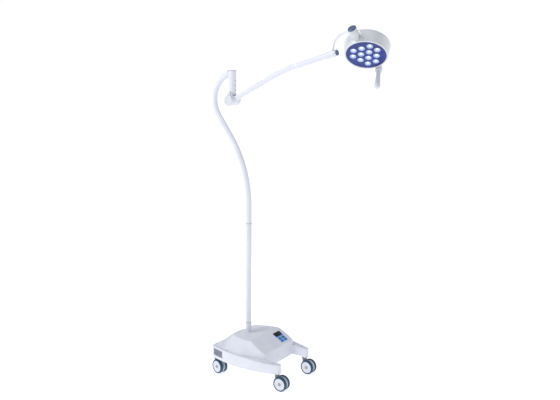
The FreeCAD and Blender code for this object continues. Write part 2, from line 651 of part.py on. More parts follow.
def build_hub():
    """The fork turns in the sleeve on its spindle; the arm's lug turns between its cheeks."""
    x = SLEEVE_X
    gap = "lug_half + washer_t + fit_gap"
    outside = "hub_half - hub_cap_t"
    cheeks = [rod(f"cheek_{name}", "hub_r", f"{outside} - ({gap})", (x, start, "hub_z"), "Y")
              for name, start in (("near", f"-({outside})"), ("far", gap))]
    shoulder = "sleeve_low - flange_t - fit_gap"
    room_r = f"{shoulder} - 2 - bridge_t - hub_z"
    bridge = box("fork_bridge",
                 ("bridge_back + bridge_front", f"2 * ({outside} - 2)", f"{shoulder} - 2 - hub_z"),
                 (f"{x} + (bridge_front - bridge_back) / 2", 0, "hub_z"))
    room = rod("fork_room", room_r, f"2 * ({gap})", (x, f"-({gap})", "hub_z"), "Y")
    bore = rod("fork_bore", "pivot_r", "2 * hub_half", (x, "-hub_half", "hub_z"), "Y")
    yoke = cut("fork_cut", fuse("fork_solid", cheeks + [bridge]), [room, bore])
    seat = rod("spindle_seat", "sleeve_r - 3", 6, (x, 0, f"{shoulder} - 6"))
    spindle = rod("spindle", "spindle_r", f"sleeve_top - 6 - ({shoulder})", (x, 0, shoulder))
    node(fuse("hub_fork", [yoke, seat, spindle]), "hub_fork")
    caps = []
    for name, side in (("near", -1), ("far", 1)):
        cap = turned(f"hub_cap_{name}", [
            ("0", "0"), ("hub_r", "0"), ("hub_r", "hub_cap_t - 2.5"), ("hub_r - 2.5", "hub_cap_t"),
            ("0", "hub_cap_t")])
        face = V(value(x), side * value(outside), size("hub_z"))
        caps.append(in_frame(cap, FreeCAD.Placement(face, FreeCAD.Rotation(X_AXIS, -90 * side))))
    node(group("hub_caps", caps), "hub_caps")
    node(rod("pivot_shaft", "pivot_r", f"2 * ({outside})", (x, f"-({outside})", "hub_z"), "Y"), "pivot_bolt")
    drum = rod("lug_drum", "hub_r", "2 * lug_half", (x, "-lug_half", "hub_z"), "Y")
    eye = rod("lug_eye", "pivot_r + run_gap", "2 * lug_half + 2", (x, "-lug_half - 1", "hub_z"), "Y")
    neck = rod("lug_neck", "arm_r - arm_wall - run_gap", "arm_start + 22", (0, 0, 0), "X")
    collar = rod("lug_collar", "arm_r + 1", "arm_start", (0, 0, 0), "X")
    arm_frame = FreeCAD.Placement(V(value(x), 0, size("hub_z")), FreeCAD.Rotation(Y_AXIS, -size("arm_rise")))
    spigot = in_frame(group("lug_spigot", [fuse("lug_stub", [neck, collar])]), arm_frame)
    node(cut("arm_root", fuse("lug_solid", [drum, spigot]), [eye]), "arm_root")
    washers = [tube(f"washer_{name}", "hub_r - 3", "pivot_r + fit_gap", "washer_t", (x, y, "hub_z"), "Y")
               for name, y in (("near", "-lug_half - washer_t"), ("far", "lug_half"))]
    node(group("friction_washers", washers), "friction_washers")
    return arm_frame


def build_arm(arm_frame):
    runs = [("run", "arm_run - arm_start"), ("bend", "arm_bend", "arm_rise - arm_droop", -1),
            ("run", "arm_end_run")]
    node(piped("arm_tube", ("arm_start", "0"), "0", runs, ["arm_r", "arm_r - arm_wall"]), "arm_tube", arm_frame)
    # end of the tube, in the arm's own frame
    turn = math.radians(size("arm_rise") - size("arm_droop"))
    bend = size("arm_bend")
    reach = size("arm_run") + bend * math.sin(turn) + size("arm_end_run") * math.cos(turn)
    dip = -(bend * (1 - math.cos(turn)) + size("arm_end_run") * math.sin(turn))
    tip = arm_frame.multiply(FreeCAD.Placement(V(reach, 0, dip), FreeCAD.Rotation(Y_AXIS, math.degrees(turn))))
    barrel = rod("block_barrel", "block_r", "block_len + 12", ("-12", 0, 0), "X")
    socket = rod("block_socket", "arm_r + run_gap", 12, ("-12", 0, 0), "X")
    recess = rod("block_recess", "cap_r - 3", 6, ("block_len - 6", 0, 0), "X")
    rounded = in_frame(group("block_blank", [cut("block_bored", barrel, [socket, recess])]), tip)
    stem_x = tip.multVec(V(size("block_len") / 2 + 4, 0, 0))
    stem_hole = rod("stem_hole", "rod_r + run_gap", 80, (0, 0, "rod_seat - block_r - run_gap"))
    stem_hole = in_frame(group("stem_hole_placed", [stem_hole]), FreeCAD.Placement(stem_x, FreeCAD.Rotation()))
    node(cut("arm_end_block", rounded, [stem_hole]), "arm_end_block")
    lid = rod("end_cap_lid", "cap_r", "cap_len - 4", ("block_len", 0, 0), "X")
    taper = cone("end_cap_taper", "cap_r", "cap_r - 3", 4, ("block_len + cap_len - 4", 0, 0), "X")
    plug = rod("end_cap_plug", "cap_r - 3 - fit_gap", 5, ("block_len - 5", 0, 0), "X")
    node(fuse("arm_end_cap", [lid, taper, plug]), "arm_end_cap", tip)
    return stem_x


# ---- yoke and knuckle -------------------------------------------------------------------------

def build_yoke(stem):
    """The bent rod turns in the arm's end block and carries the knuckle on its journal."""
    yoke = FreeCAD.Placement(V(stem.x, 0, stem.z), FreeCAD.Rotation(Z_AXIS, size("yoke_swing")))
    end_run = "rod_reach - rod_bend - knuckle_r + journal_len"
    low = "rod_seat - block_r"
    node(piped("yoke_rod", ("0", low), "90",
               [("run", f"rod_lift - rod_bend - ({low})"), ("bend", "rod_bend", "90", -1), ("run", end_run)],
               ["rod_r"]), "yoke_rod", yoke)
    centre = V(size("rod_reach"), 0, size("rod_lift"))
    lean = FreeCAD.Rotation(X_AXIS, 90 - size("knuckle_lean"))
    knuckle = yoke.multiply(FreeCAD.Placement(centre, lean))
    return yoke, knuckle


def build_knuckle(knuckle):
    half = "knuckle_half"
    shell = rod("knuckle_shell", "knuckle_r", f"2 * {half} - knuckle_cap_t", (0, 0, f"-{half}"))
    journal = rod("journal_bore", "rod_r + run_gap", "journal_len + 1 + run_gap", ("-knuckle_r - 1", 0, 0), "X")
    pin = rod("pin_bore", "7 + run_gap", f"{half} + 12", (0, 0, f"-{half}"))
    node(cut("knuckle_body", shell, [journal, pin]), "knuckle_body", knuckle)
    low = f"{half} - knuckle_cap_t"
    node(turned("knuckle_cap", [
        ("0", low), ("knuckle_r + 0.5", low), ("knuckle_r + 0.5", f"{half} - 3"),
        ("knuckle_r - 3", half), ("0", half)]),
        "knuckle_cap", knuckle)


# ---- lamp head --------------------------------------------------------------------------------

def head_placement(yoke):
    """The head's frame: origin at the middle of the face, Z out of its back, X towards the knuckle."""
    lean = math.radians(size("head_lean"))
    knuckle_lean = math.radians(size("knuckle_lean"))
    turn = math.radians(size("head_turn"))
    towards = V(0, -math.cos(lean), math.sin(lean))
    down = V(0, -math.sin(lean), -math.cos(lean))
    facing = down * math.cos(turn) + X_AXIS * math.sin(turn)
    pin = V(0, -math.cos(knuckle_lean), math.sin(knuckle_lean))
    centre = V(size("rod_reach"), 0, size("rod_lift"))
    root = centre - pin * (size("knuckle_half") + size("neck_len")) - towards * (size("face_r") + size("bracket_gap"))
    face = root + facing * size("pivot_back")
    back = facing * -1
    side = back.cross(towards)
    turned_frame = FreeCAD.Placement(face, FreeCAD.Rotation(towards, side, back, "ZXY"))
    return yoke.multiply(turned_frame)


HOUSING_OUTSIDE = [("rim_r", "-lip"), ("back_r", "head_depth - 2"), ("back_r - 2", "head_depth + 3"),
                   ("back_r - 8", "head_depth + 8")]


def build_head(head, knuckle):
    wall = "head_wall"
    lid_r = "back_r - 14"
    housing = turned("head_housing", [
        ("face_r - 1.5", "-lip"), *HOUSING_OUTSIDE, (lid_r, "head_depth + 8"),
        (lid_r, f"head_depth + 8 - {wall}"),
        (f"back_r - 8 - {wall} / 2", f"head_depth + 8 - {wall}"), (f"back_r - {wall}", "head_depth - 2"),
        (f"rim_r - {wall} + 0.3", "0"), ("face_r - 1.5", "0")])
    node(housing, "head_housing", head)
    edge = f"{lid_r} - fit_gap"
    node(turned("back_cover", [
        ("0", "head_depth + 8.5"), (f"{edge} - 3", f"head_depth + 8 - {wall}"),
        (edge, f"head_depth + 8 - {wall}"), (edge, "head_depth + 8.5"),
        ("back_r - 40", "head_depth + 13"), ("0", "head_depth + 15")]), "back_cover", head)
    spots = [("lens_pitch / (2 * sqrt(3))", "lens_pitch / 2"),
             ("2 * lens_pitch / sqrt(3)", "0"),
             ("2 * lens_pitch / sqrt(3)", "lens_pitch"),
             ("lens_pitch / (2 * sqrt(3))", "3 * lens_pitch / 2")]
    panel = new("PartDesign::Body", "face_panel")
    disc = sketch_in(panel, "XY_Plane")
    draw_circle(disc, ("0", "0"), "face_r + 1")
    pad(panel, disc, "panel_t")
    seats = sketch_in(panel, "XY_Plane")
    for x, y in spots:
        draw_circle(seats, (x, y), "lens_r + fit_gap / 2")
    first = pocket(panel, seats, "panel_t", reverse=True)
    doc.recompute()
    repeat_round(panel, [first], 3)
    node(panel, "face_panel", head)
    lenses = new("PartDesign::Body", "lens_array")
    rims = sketch_in(lenses, "XY_Plane")
    cups = sketch_in(lenses, "XY_Plane", "panel_t")
    for x, y in spots:
        draw_circle(rims, (x, y), "lens_r")
        draw_circle(cups, (x, y), "lens_r")
    rim_pad = pad(lenses, rims, "panel_t")
    cup_pad = pad(lenses, cups, "lens_depth", taper=-26)
    doc.recompute()
    repeat_round(lenses, [rim_pad, cup_pad], 3)
    node(lenses, "lens_array", head)
    board_z = "panel_t + lens_depth + 3"
    board = new("PartDesign::Body", "led_board")
    round_sketch = sketch_in(board, "XY_Plane", board_z)
    draw_circle(round_sketch, ("0", "0"), "face_r - 10")
    pad(board, round_sketch, "board_t")
    dies = sketch_in(board, "XY_Plane", f"{board_z} - 1.5")
    for x, y in spots:
        draw_circle(dies, (x, y), "3")
    die_pad = pad(board, dies, 2)
    doc.recompute()
    repeat_round(board, [die_pad], 3)
    node(board, "led_board", head)
    sink_z = f"{board_z} + board_t"
    base = rod("sink_disc", "face_r - 10", "sink_t", (0, 0, sink_z))
    fins = [box(f"sink_fin_{i}", ("fin_len", "fin_t", "fin_lift"),
                (0, f"{i - 5} * fin_gap", f"{sink_z} + sink_t"))
            for i in range(11)]
    node(fuse("heat_sink", [base] + fins), "heat_sink", head)
    build_bracket(head, knuckle)
    build_handle(head)


def housing_tool(name):
    return turned(name, [("0", "-lip - 20"), ("rim_r", "-lip - 20"), *HOUSING_OUTSIDE, ("0", "head_depth + 8")])


def build_bracket(head, knuckle):
    """The wedge that carries the knuckle pin on the side of the housing."""
    block = box("bracket_block", (30, 26, 30), ("back_r - 1", 0, "pivot_back - 10"))
    fitted = cut("bracket_fitted", block, [housing_tool("bracket_tool")])
    wedge = in_frame(group("bracket_wedge", [fitted]), head)
    foot = rod("bracket_foot", "knuckle_r - 3", "6", (0, 0, "-knuckle_half - 6 - fit_gap"))
    pin = rod("bracket_pin", "7", "knuckle_half + 6", (0, 0, "-knuckle_half - 3"))
    flange = in_frame(group("bracket_flange", [fuse("bracket_top", [foot, pin])]), knuckle)
    room = rod("bracket_room", "knuckle_r + 12", "2 * knuckle_half", (0, 0, "-knuckle_half - fit_gap"))
    clear = in_frame(group("bracket_clear", [room]), knuckle)
    lower = cut("bracket_lower", wedge, [clear])
    shell = in_frame(group("bracket_shell", [housing_tool("flange_tool")]), head)
    trimmed = cut("bracket_trimmed", flange, [shell])
    node(fuse("head_bracket", [lower, trimmed]), "head_bracket")


def build_handle(head):
    head = head.multiply(FreeCAD.Placement(ORIGIN, FreeCAD.Rotation(Z_AXIS, size("handle_side"))))
    out = "-(face_r + handle_out)"
    arm = box("mount_arm", (32, 20, 22), ("-(rim_r + 4)", 0, 2))
    post = rod("mount_post", "collar_r - 3", 22, (out, 0, 2))
    collar = rod("mount_collar", "collar_r", "collar_len", (out, 0, "2 - collar_len"))
    socket = rod("mount_socket", "handle_r - 4 + run_gap", "collar_len", (out, 0, "2 - collar_len"))
    solid = fuse("mount_solid", [arm, post, collar])
    node(cut("handle_mount", solid, [housing_tool("mount_tool"), socket]), "handle_mount", head)
    length = "handle_len"
    body = turned("handle_grip", [
        ("0", "0"), ("handle_r - 4", "0"), ("handle_r - 4", "-collar_len + 2"),
        ("handle_r - 1", "-collar_len + 2"),
        ("handle_r - 2", "-collar_len - 20"), ("handle_r", f"-collar_len - {length} / 2"),
        ("handle_r + 2", f"-collar_len - {length} * 0.85"), ("handle_r - 2", f"-collar_len - {length} + 3"),
        ("handle_r - 8", f"-collar_len - {length}"), ("0", f"-collar_len - {length}")])
    shift = FreeCAD.Placement(V(value(out), 0, 0), FreeCAD.Rotation())
    node(body, "handle_grip", head.multiply(shift))


# ---- casters ----------------------------------------------------------------------------------

SWIVELS = {"front_near": 0, "front_far": -4, "rear_near": -12, "rear_far": 14}


def caster_frame(name):
    x, y = stem_cells()[name]
    return FreeCAD.Placement(V(value(x), value(y), 0), FreeCAD.Rotation(Z_AXIS, SWIVELS[name]))


def build_caster(name):
    """A twin-wheel caster in its own frame: the stem on Z, the axle a trail behind it."""
    frame = caster_frame(name)
    web_w = "wheel_gap - 2 * part_gap"
    top = "skirt_z - 3"
    boss = rod(f"{name}_boss", "wheel_gap / 2 - part_gap", 28, (0, 0, f"{top} - 28"))
    crown = rod(f"{name}_crown", "stem_r + 8", f"{top} - 2 * wheel_r - 1.5", (0, 0, "2 * wheel_r + 1.5"))
    web = rod(f"{name}_web", "web_r", web_w, ("trail", f"-({web_w}) / 2", "wheel_r"), "Y")
    link = box(f"{name}_link", ("trail", web_w, "wheel_r"), ("trail / 2", 0, "wheel_r"))
    bore = rod(f"{name}_stem_bore", "stem_r + run_gap", 16, (0, 0, f"{top} - 16"))
    eye = rod(f"{name}_eye", "axle_r + run_gap", "wheel_gap + 4",
              ("trail", "-wheel_gap / 2 - 2", "wheel_r"), "Y")
    solid = fuse(f"{name}_solid", [boss, crown, web, link])
    node(cut(f"{name}_fork", solid, [bore, eye]), f"{name}_fork", frame)
    discs = []
    tyres = []
    rim_r = "wheel_r - tyre_t"
    for side, start in (("near", "-wheel_gap / 2 - wheel_w"), ("far", "wheel_gap / 2")):
        at = ("trail", start, "wheel_r")
        outside = start if side == "near" else f"{start} + wheel_w - 3"
        dish = tube(f"{name}_dish_{side}", f"{rim_r} - 4", "axle_r + 5", 3, ("trail", outside, "wheel_r"), "Y")
        disc = rod(f"{name}_disc_{side}", rim_r, "wheel_w", at, "Y")
        discs.append(cut(f"{name}_wheel_{side}", disc, [dish]))
        tyres.append(tube(f"{name}_tyre_{side}", "wheel_r", rim_r, "wheel_w", at, "Y"))
    axle = rod(f"{name}_axle", "axle_r", "wheel_gap", ("trail", "-wheel_gap / 2", "wheel_r"), "Y")
    node(fuse(f"{name}_hubs", discs + [axle]), f"{name}_hubs", frame)
    node(group(f"{name}_tyres", tyres), f"{name}_tyres", frame)


def build_stems():
    stems = []
    for name, (x, y) in stem_cells().items():
        shank = rod(f"{name}_stem", "stem_r", "plate_z + plate_t + 5 - (skirt_z - 18)", (x, y, "skirt_z - 18"))
        head = rod(f"{name}_stem_head", "stem_r + 4", 5, (x, y, "plate_z + plate_t"))
        stems.append(fuse(f"{name}_king_pin", [shank, head]))
    node(group("caster_stems", stems), "caster_stems")


def build_base_screws():
    floor = "plate_z + plate_t"
    screws = []
    for i, (x, y) in enumerate(SCREW_PLACES):
        post = rod(f"cover_post_{i}", "screw_r + 3", f"edge_z - cover_wall - ({floor})", (x, y, floor))
        shank = rod(f"cover_shank_{i}", "screw_r", "cover_wall + 1", (x, y, "edge_z - cover_wall - 1"))
        head = cone(f"cover_head_{i}", "screw_r + 2", "screw_r + 1", 2, (x, y, "edge_z"))
        screws.append(fuse(f"cover_screw_{i}", [post, shank, head]))
    node(group("cover_screws", screws), "cover_screws")


build_cover()
build_grilles()
build_chassis()
build_inside()
build_mains()
build_panel()
build_column()
build_sleeve()
arm_place = build_hub()
stem_place = build_arm(arm_place)
yoke_place, knuckle_place = build_yoke(stem_place)
build_knuckle(knuckle_place)
build_head(head_placement(yoke_place), knuckle_place)
for caster in stem_cells():
    build_caster(caster)
build_stems()
build_base_screws()

doc.recompute()
for item in doc.Objects:
    if "Invalid" in item.State or "Error" in item.State:
        raise RuntimeError(f"{item.Label} failed: {item.State}")
os.makedirs("parts", exist_ok=True)
for item in parts:
    shape = item.Shape
    if shape.isNull() or not shape.isValid() or not shape.Solids:
        raise RuntimeError(f"{item.Label} has no valid solid")
    shape.exportStep(f"parts/{item.Label}.step")
print(len(parts), "parts written")
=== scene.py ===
import bpy
import bmesh
import json
import math
from mathutils import Matrix, Vector


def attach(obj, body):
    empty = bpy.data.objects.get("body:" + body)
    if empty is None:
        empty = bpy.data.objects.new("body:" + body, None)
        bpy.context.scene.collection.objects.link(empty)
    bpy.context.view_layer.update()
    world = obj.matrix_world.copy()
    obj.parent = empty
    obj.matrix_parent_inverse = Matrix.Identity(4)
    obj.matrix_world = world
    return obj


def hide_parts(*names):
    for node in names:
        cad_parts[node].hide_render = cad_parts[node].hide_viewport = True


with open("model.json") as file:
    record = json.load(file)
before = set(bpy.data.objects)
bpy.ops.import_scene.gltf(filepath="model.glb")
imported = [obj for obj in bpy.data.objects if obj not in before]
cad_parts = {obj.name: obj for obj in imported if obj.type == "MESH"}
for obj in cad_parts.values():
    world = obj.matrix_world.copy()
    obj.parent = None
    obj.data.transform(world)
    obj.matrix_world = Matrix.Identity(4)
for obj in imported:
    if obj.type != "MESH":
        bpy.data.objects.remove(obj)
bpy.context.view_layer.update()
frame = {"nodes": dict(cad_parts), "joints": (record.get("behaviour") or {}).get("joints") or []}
joints = {joint["name"]: joint for joint in frame["joints"]}
scene = bpy.context.scene
print("frame loaded:", len(frame["nodes"]), "nodes")

# camera: 3.7 m from the column at eye height
cameraLook = {"place": (2.1705, -2.9865, 1.561), "heading": 33.49, "tilt": -9.72, "roll": 0.59, "lens": 46.05}
camera = bpy.data.objects.new("camera", bpy.data.cameras.new("camera"))
camera.data.sensor_width = 36
camera.data.lens = cameraLook["lens"]
camera.matrix_world = (Matrix.Translation(cameraLook["place"])
                       @ Matrix.Rotation(math.radians(cameraLook["heading"]), 4, "Z")
                       @ Matrix.Rotation(math.radians(90 + cameraLook["tilt"]), 4, "X")
                       @ Matrix.Rotation(math.radians(cameraLook["roll"]), 4, "Z"))
scene.collection.objects.link(camera)
scene.camera = camera
print("camera placed")


# finishes of the real materials
def toLinear(hexColor):
    channels = [int(hexColor[i:i + 2], 16) / 255 for i in (1, 3, 5)]
    return [c / 12.92 if c <= 0.04045 else ((c + 0.055) / 1.055) ** 2.4 for c in channels] + [1]


def addNode(tree, kind, settings=None, links=None):
    node = tree.nodes.new(kind)
    for name, value in (settings or {}).items():
        if isinstance(name, int) or name in node.inputs:
            node.inputs[name].default_value = value
        else:
            setattr(node, name, value)
    for name, source in (links or {}).items():
        tree.links.new(source, node.inputs[name])
    return node


def makeFinish(name, look):
    # the colour drifts over centimetres, and a fine grain gives the surface its tooth
    material = bpy.data.materials.new(name)
    material.use_nodes = True
    tree = material.node_tree
    shader = tree.nodes["Principled BSDF"]
    place = addNode(tree, "ShaderNodeTexCoord").outputs["Object"]
    if "stretch" in look:  # a brushed or drawn grain runs one way
        place = addNode(tree, "ShaderNodeMapping", {"Scale": look["stretch"]}, {"Vector": place}).outputs[0]
    drift = addNode(tree, "ShaderNodeTexNoise", {"Scale": 1000 / look["drift"], "Detail": 3},
                    {"Vector": place})
    ramp = addNode(tree, "ShaderNodeMapRange", {"From Min": 0.3, "From Max": 0.7},
                   {"Value": drift.outputs[0]})
    mix = addNode(tree, "ShaderNodeMix",
                  {"data_type": "RGBA", 6: toLinear(look["color"]), 7: toLinear(look["shade"])},
                  {0: ramp.outputs[0]})
    tree.links.new(mix.outputs[2], shader.inputs["Base Color"])
    rough = addNode(tree, "ShaderNodeMapRange", {"To Min": look["rough"][0], "To Max": look["rough"][1]},
                    {"Value": drift.outputs[0]})
    tree.links.new(rough.outputs[0], shader.inputs["Roughness"])
    grain = addNode(tree, "ShaderNodeTexNoise", {"Scale": 1000 / look["grain"], "Detail": 2},
                    {"Vector": place})
    bump = addNode(tree, "ShaderNodeBump",
                   {"Strength": look.get("bite", 0.5), "Distance": look["depth"] * 0.001},
                   {"Height": grain.outputs[0]})
    tree.links.new(bump.outputs[0], shader.inputs["Normal"])
    shader.inputs["Metallic"].default_value = look.get("metal", 0)
    shader.inputs["Coat Weight"].default_value = look.get("coat", 0)
    shader.inputs["Coat Roughness"].default_value = look.get("coatRough", 0.1)
    if not look.get("metal"):
        shader.inputs["IOR"].default_value = look.get("ior", 1.5)
    return material


finishes = {
    # polyester powder coat on steel tube: satin, with a faint orange peel about 2 mm across
    "powderCoat": {"color": "#E0E2EC", "shade": "#D9DCE6", "drift": 90, "rough": (0.30, 0.38), "grain": 2.2,
                   "depth": 0.02, "coat": 0.25, "coatRough": 0.18},
    # injection-moulded ABS with a fine spark-eroded texture: soft sheen
    "texturedAbs": {"color": "#E4E7F0", "shade": "#DEE1EB", "drift": 70, "rough": (0.40, 0.50), "grain": 0.9,
                    "depth": 0.03, "ior": 1.53},
    # polished ABS: mirror-like skin over a silver-white body
    "polishedAbs": {"color": "#D6D9DE", "shade": "#CED2D8", "drift": 80, "rough": (0.16, 0.22), "grain": 4,
                    "depth": 0.006, "coat": 0.5, "coatRough": 0.06, "ior": 1.53},
    # glass-filled nylon: grey, dull, slightly mottled
    "greyNylon": {"color": "#A6AAB8", "shade": "#9A9EAD", "drift": 18, "rough": (0.45, 0.6), "grain": 0.7,
                  "depth": 0.03},
    # polypropylene cap: dark slate, waxy sheen
    "slatePolypropylene": {"color": "#566A8A", "shade": "#4A5D7C", "drift": 14, "rough": (0.32, 0.42),
                           "grain": 0.8,
                           "depth": 0.02, "ior": 1.49},
    # black glass-filled nylon: matte, faintly streaked by the flow in the mould
    "blackNylon": {"color": "#16181C", "shade": "#202329", "drift": 12, "rough": (0.42, 0.58), "grain": 0.6,
                   "depth": 0.03},
    # zinc-aluminium casting with pale grey enamel
    "greyEnamel": {"color": "#CFD4D6", "shade": "#C3C9CC", "drift": 30, "rough": (0.25, 0.34), "grain": 1.6,
                   "depth": 0.02, "coat": 0.3},
    # glass-filled nylon of the caster forks: mid grey, dull
    "forkNylon": {"color": "#8A8F98", "shade": "#7C818A", "drift": 12, "rough": (0.42, 0.58), "grain": 0.6,
                  "depth": 0.03},
    # white polyamide wheel centre
    "whitePolyamide": {"color": "#E4E6EA", "shade": "#DADDE2", "drift": 16, "rough": (0.35, 0.48),
                       "grain": 0.8,
                       "depth": 0.02},
    # polyurethane tread, scuffed to a duller tone where it rolls
    "polyurethane": {"color": "#16425F", "shade": "#235070", "drift": 9, "rough": (0.5, 0.75), "grain": 0.5,
                     "depth": 0.05, "ior": 1.5},
    # zinc-plated steel: bluish bright metal with a rolled grain
    "zincSteel": {"color": "#C3C7CC", "shade": "#AEB3BA", "drift": 25, "rough": (0.28, 0.42), "grain": 0.6,
                  "depth": 0.01, "metal": 1, "stretch": (0.2, 1, 1)},
    # grey cast iron with sand-cast skin
    "castIron": {"color": "#4A4B4D", "shade": "#3C3D3F", "drift": 20, "rough": (0.55, 0.75), "grain": 1.8,
                 "depth": 0.2,
                 "metal": 0.6},
    # extruded aluminium
    "aluminium": {"color": "#CDD0D4", "shade": "#BFC3C8", "drift": 30, "rough": (0.3, 0.42), "grain": 0.7,
                  "depth": 0.01,
                  "metal": 1, "stretch": (0.15, 1, 1)},
    # unfilled nylon bush, the colour of candle wax
    "naturalNylon": {"color": "#E6E1D2", "shade": "#DCD6C4", "drift": 12, "rough": (0.35, 0.45), "grain": 0.9,
                     "depth": 0.01},
    # moulded friction lining: brown-black with fibres
    "frictionLining": {"color": "#3A322C", "shade": "#2A2420", "drift": 4, "rough": (0.7, 0.85), "grain": 0.5,
                       "depth": 0.08},
    # PVC cable sheath
    "cableSheath": {"color": "#18191B", "shade": "#1E1F22", "drift": 15, "rough": (0.4, 0.5), "grain": 1,
                    "depth": 0.02},
    # glass-epoxy board under green solder mask
    "solderMask": {"color": "#1C6B3C", "shade": "#185C34", "drift": 6, "rough": (0.25, 0.35), "grain": 0.8,
                   "depth": 0.02},
    # white solder mask on an aluminium core
    "whiteMask": {"color": "#F0F0EE", "shade": "#E8E8E4", "drift": 15, "rough": (0.3, 0.4), "grain": 0.8,
                  "depth": 0.01},
    # polyester membrane keys, two tones of blue and a teal, with a fine satin print
    "tealKey": {"color": "#0C7478", "shade": "#0A6266", "drift": 8, "rough": (0.35, 0.42), "grain": 0.5,
                "depth": 0.015},
    "blueKey": {"color": "#2F6FC8", "shade": "#2A64B8", "drift": 8, "rough": (0.35, 0.42), "grain": 0.5,
                "depth": 0.015},
    # display window: smoked acrylic
    "smokedAcrylic": {"color": "#0A0F18", "shade": "#0E1420", "drift": 10, "rough": (0.28, 0.36), "grain": 3,
                      "depth": 0.003, "ior": 1.45},
    # deep blue lacquer on the lamp's face
    "blueLacquer": {"color": "#17348F", "shade": "#0F2470", "drift": 45, "rough": (0.35, 0.45), "grain": 1.5,
                    "depth": 0.01, "coat": 0.1, "coatRough": 0.1},
}
materials = {name: makeFinish(name, look) for name, look in finishes.items()}


def makePaintedGlow(name, color, shade, glow, power):
    # glassy acrylic with a painted glow: the emission stands in for the bright highlight in the lenses, not
    # light of their own
    material = makeFinish(name,
                          {"color": color, "shade": shade, "drift": 11, "rough": (0.05, 0.12), "grain": 2,
                                 "depth": 0.01, "coat": 0.8, "coatRough": 0.02, "ior": 1.49})
    shader = material.node_tree.nodes["Principled BSDF"]
    shader.inputs["Emission Color"].default_value = toLinear(glow)
    shader.inputs["Emission Strength"].default_value = power
    return material


# the cup's blue is a painted reflection of the blue face, and its faint emission is a painted glow
materials["lensPaintedReflectionGlow"] = makePaintedGlow("lensPaintedReflectionGlow", "#9DB2E2", "#B9C8EE", "#A9C0F5", 0.12)
# the white centre domes glow: a painted highlight at each lens centre
materials["paintedHighlightDome"] = makePaintedGlow("paintedHighlightDome", "#F2F6FF", "#E6EEFF", "#F4F8FF", 0.6)
print("materials made:", len(materials))


# mesh tools
def softCorners(corners, closed=True, steps=4):
    # corners are (a, b) or (a, b, radius); a corner with a radius becomes a short arc
    line = []
    count = len(corners)
    for i, corner in enumerate(corners):
        here = Vector(corner[:2])
        radius = corner[2] if len(corner) > 2 else 0
        if radius == 0 or (not closed and i in (0, count - 1)):
            line.append(here)
            continue
        before = Vector(corners[i - 1][:2]) - here
        after = Vector(corners[(i + 1) % count][:2]) - here
        half = before.angle(after) / 2
        if half > 1.54:
            line.append(here)
            continue
        reach = min(radius / math.tan(half), 0.49 * before.length, 0.49 * after.length)
        bend = reach * math.tan(half)
        centre = here + (before.normalized() + after.normalized()).normalized() * (bend / math.sin(half))
        first = here + before.normalized() * reach - centre
        last = here + after.normalized() * reach - centre
        for step in range(steps + 1):
            line.append(centre + first.lerp(last, step / steps).normalized() * bend)
    return line


def inset(outline, distance):
    # a closed loop drawn anticlockwise, moved inwards
    result = []
    for i, point in enumerate(outline):
        before = (point - outline[i - 1]).normalized()
        after = (outline[(i + 1) % len(outline)] - point).normalized()
        left = Vector((-before.y, before.x))
        inward = (left + Vector((-after.y, after.x))).normalized()
        result.append(point + inward * distance / max(0.5, inward.dot(left)))
    return result


def finishMesh(name, bm, sharp=35):
    bmesh.ops.recalc_face_normals(bm, faces=bm.faces)
    mesh = bpy.data.meshes.new(name)
    bm.to_mesh(mesh)
    bm.free()
    mesh.shade_smooth()
    mesh.set_sharp_from_angle(angle=math.radians(sharp))
    return mesh


def turned(name, profile, place, steps=72, ring=False):
    # profile is (radius, height) in millimetres, place turns millimetres into the row frame
    bm = bmesh.new()
    rows = []
    for radius, height in profile:
        if radius < 1e-6:
            rows.append([bm.verts.new((0, 0, height))])
        else:
            turns = [i * math.tau / steps for i in range(steps)]
            rows.append([bm.verts.new((radius * math.cos(a), radius * math.sin(a), height)) for a in turns])
    for low, high in list(zip(rows, rows[1:])) + ([(rows[-1], rows[0])] if ring else []):
        for i in range(steps):
            j = i + 1
            corners = [low[i % len(low)], low[j % len(low)], high[j % len(high)], high[i % len(high)]]
            corners = list(dict.fromkeys(corners))
            if len(corners) > 2:
                bm.faces.new(corners)
    bm.transform(place)
    return finishMesh(name, bm)


def lofted(name, loops, place, caps=True, sharp=35):
    # skins closed loops that have the same number of points
    bm = bmesh.new()
    rows = [[bm.verts.new(point) for point in loop] for loop in loops]
    for low, high in zip(rows, rows[1:]):
        for i in range(len(low)):
            j = (i + 1) % len(low)
            bm.faces.new((low[i], low[j], high[j], high[i]))
    if caps:
        bm.faces.new(rows[0])
        bm.faces.new(rows[-1])
    bm.transform(place)
    return finishMesh(name, bm, sharp)


def slab(name, outline, low, high, edge, place):
    # a plate with softened edges
    arc = [(1 - math.cos(a), math.sin(a)) for a in (math.pi / 2, math.pi / 3.2, math.pi / 6, 0)]
    rows = []
    for back, up in arc:
        rows.append((edge * back, low + edge * (1 - up)))
    for back, up in reversed(arc):
        rows.append((edge * back, high - edge * (1 - up)))
    loops = [[(p.x, p.y, z) for p in inset(outline, distance)] for distance, z in rows]
    return lofted(name, loops, place)


def joined(name, meshes):
    bm = bmesh.new()
    for mesh in meshes:
        bm.from_mesh(mesh)
    mesh = bpy.data.meshes.new(name)
    bm.to_mesh(mesh)
    bm.free()
    return mesh


def box(low, high):
    x0, y0, z0 = low
    x1, y1, z1 = high
    return [[(x0, y0, z), (x1, y0, z), (x1, y1, z), (x0, y1, z)] for z in (z0, z1)]


def addPiece(name, mesh, body, material, stands=()):
    piece = bpy.data.objects.new(name, mesh)
    scene.collection.objects.link(piece)
    piece.data.materials.clear()
    piece.data.materials.append(materials[material])
    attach(piece, body)
    if stands:
        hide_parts(*stands)
    return piece


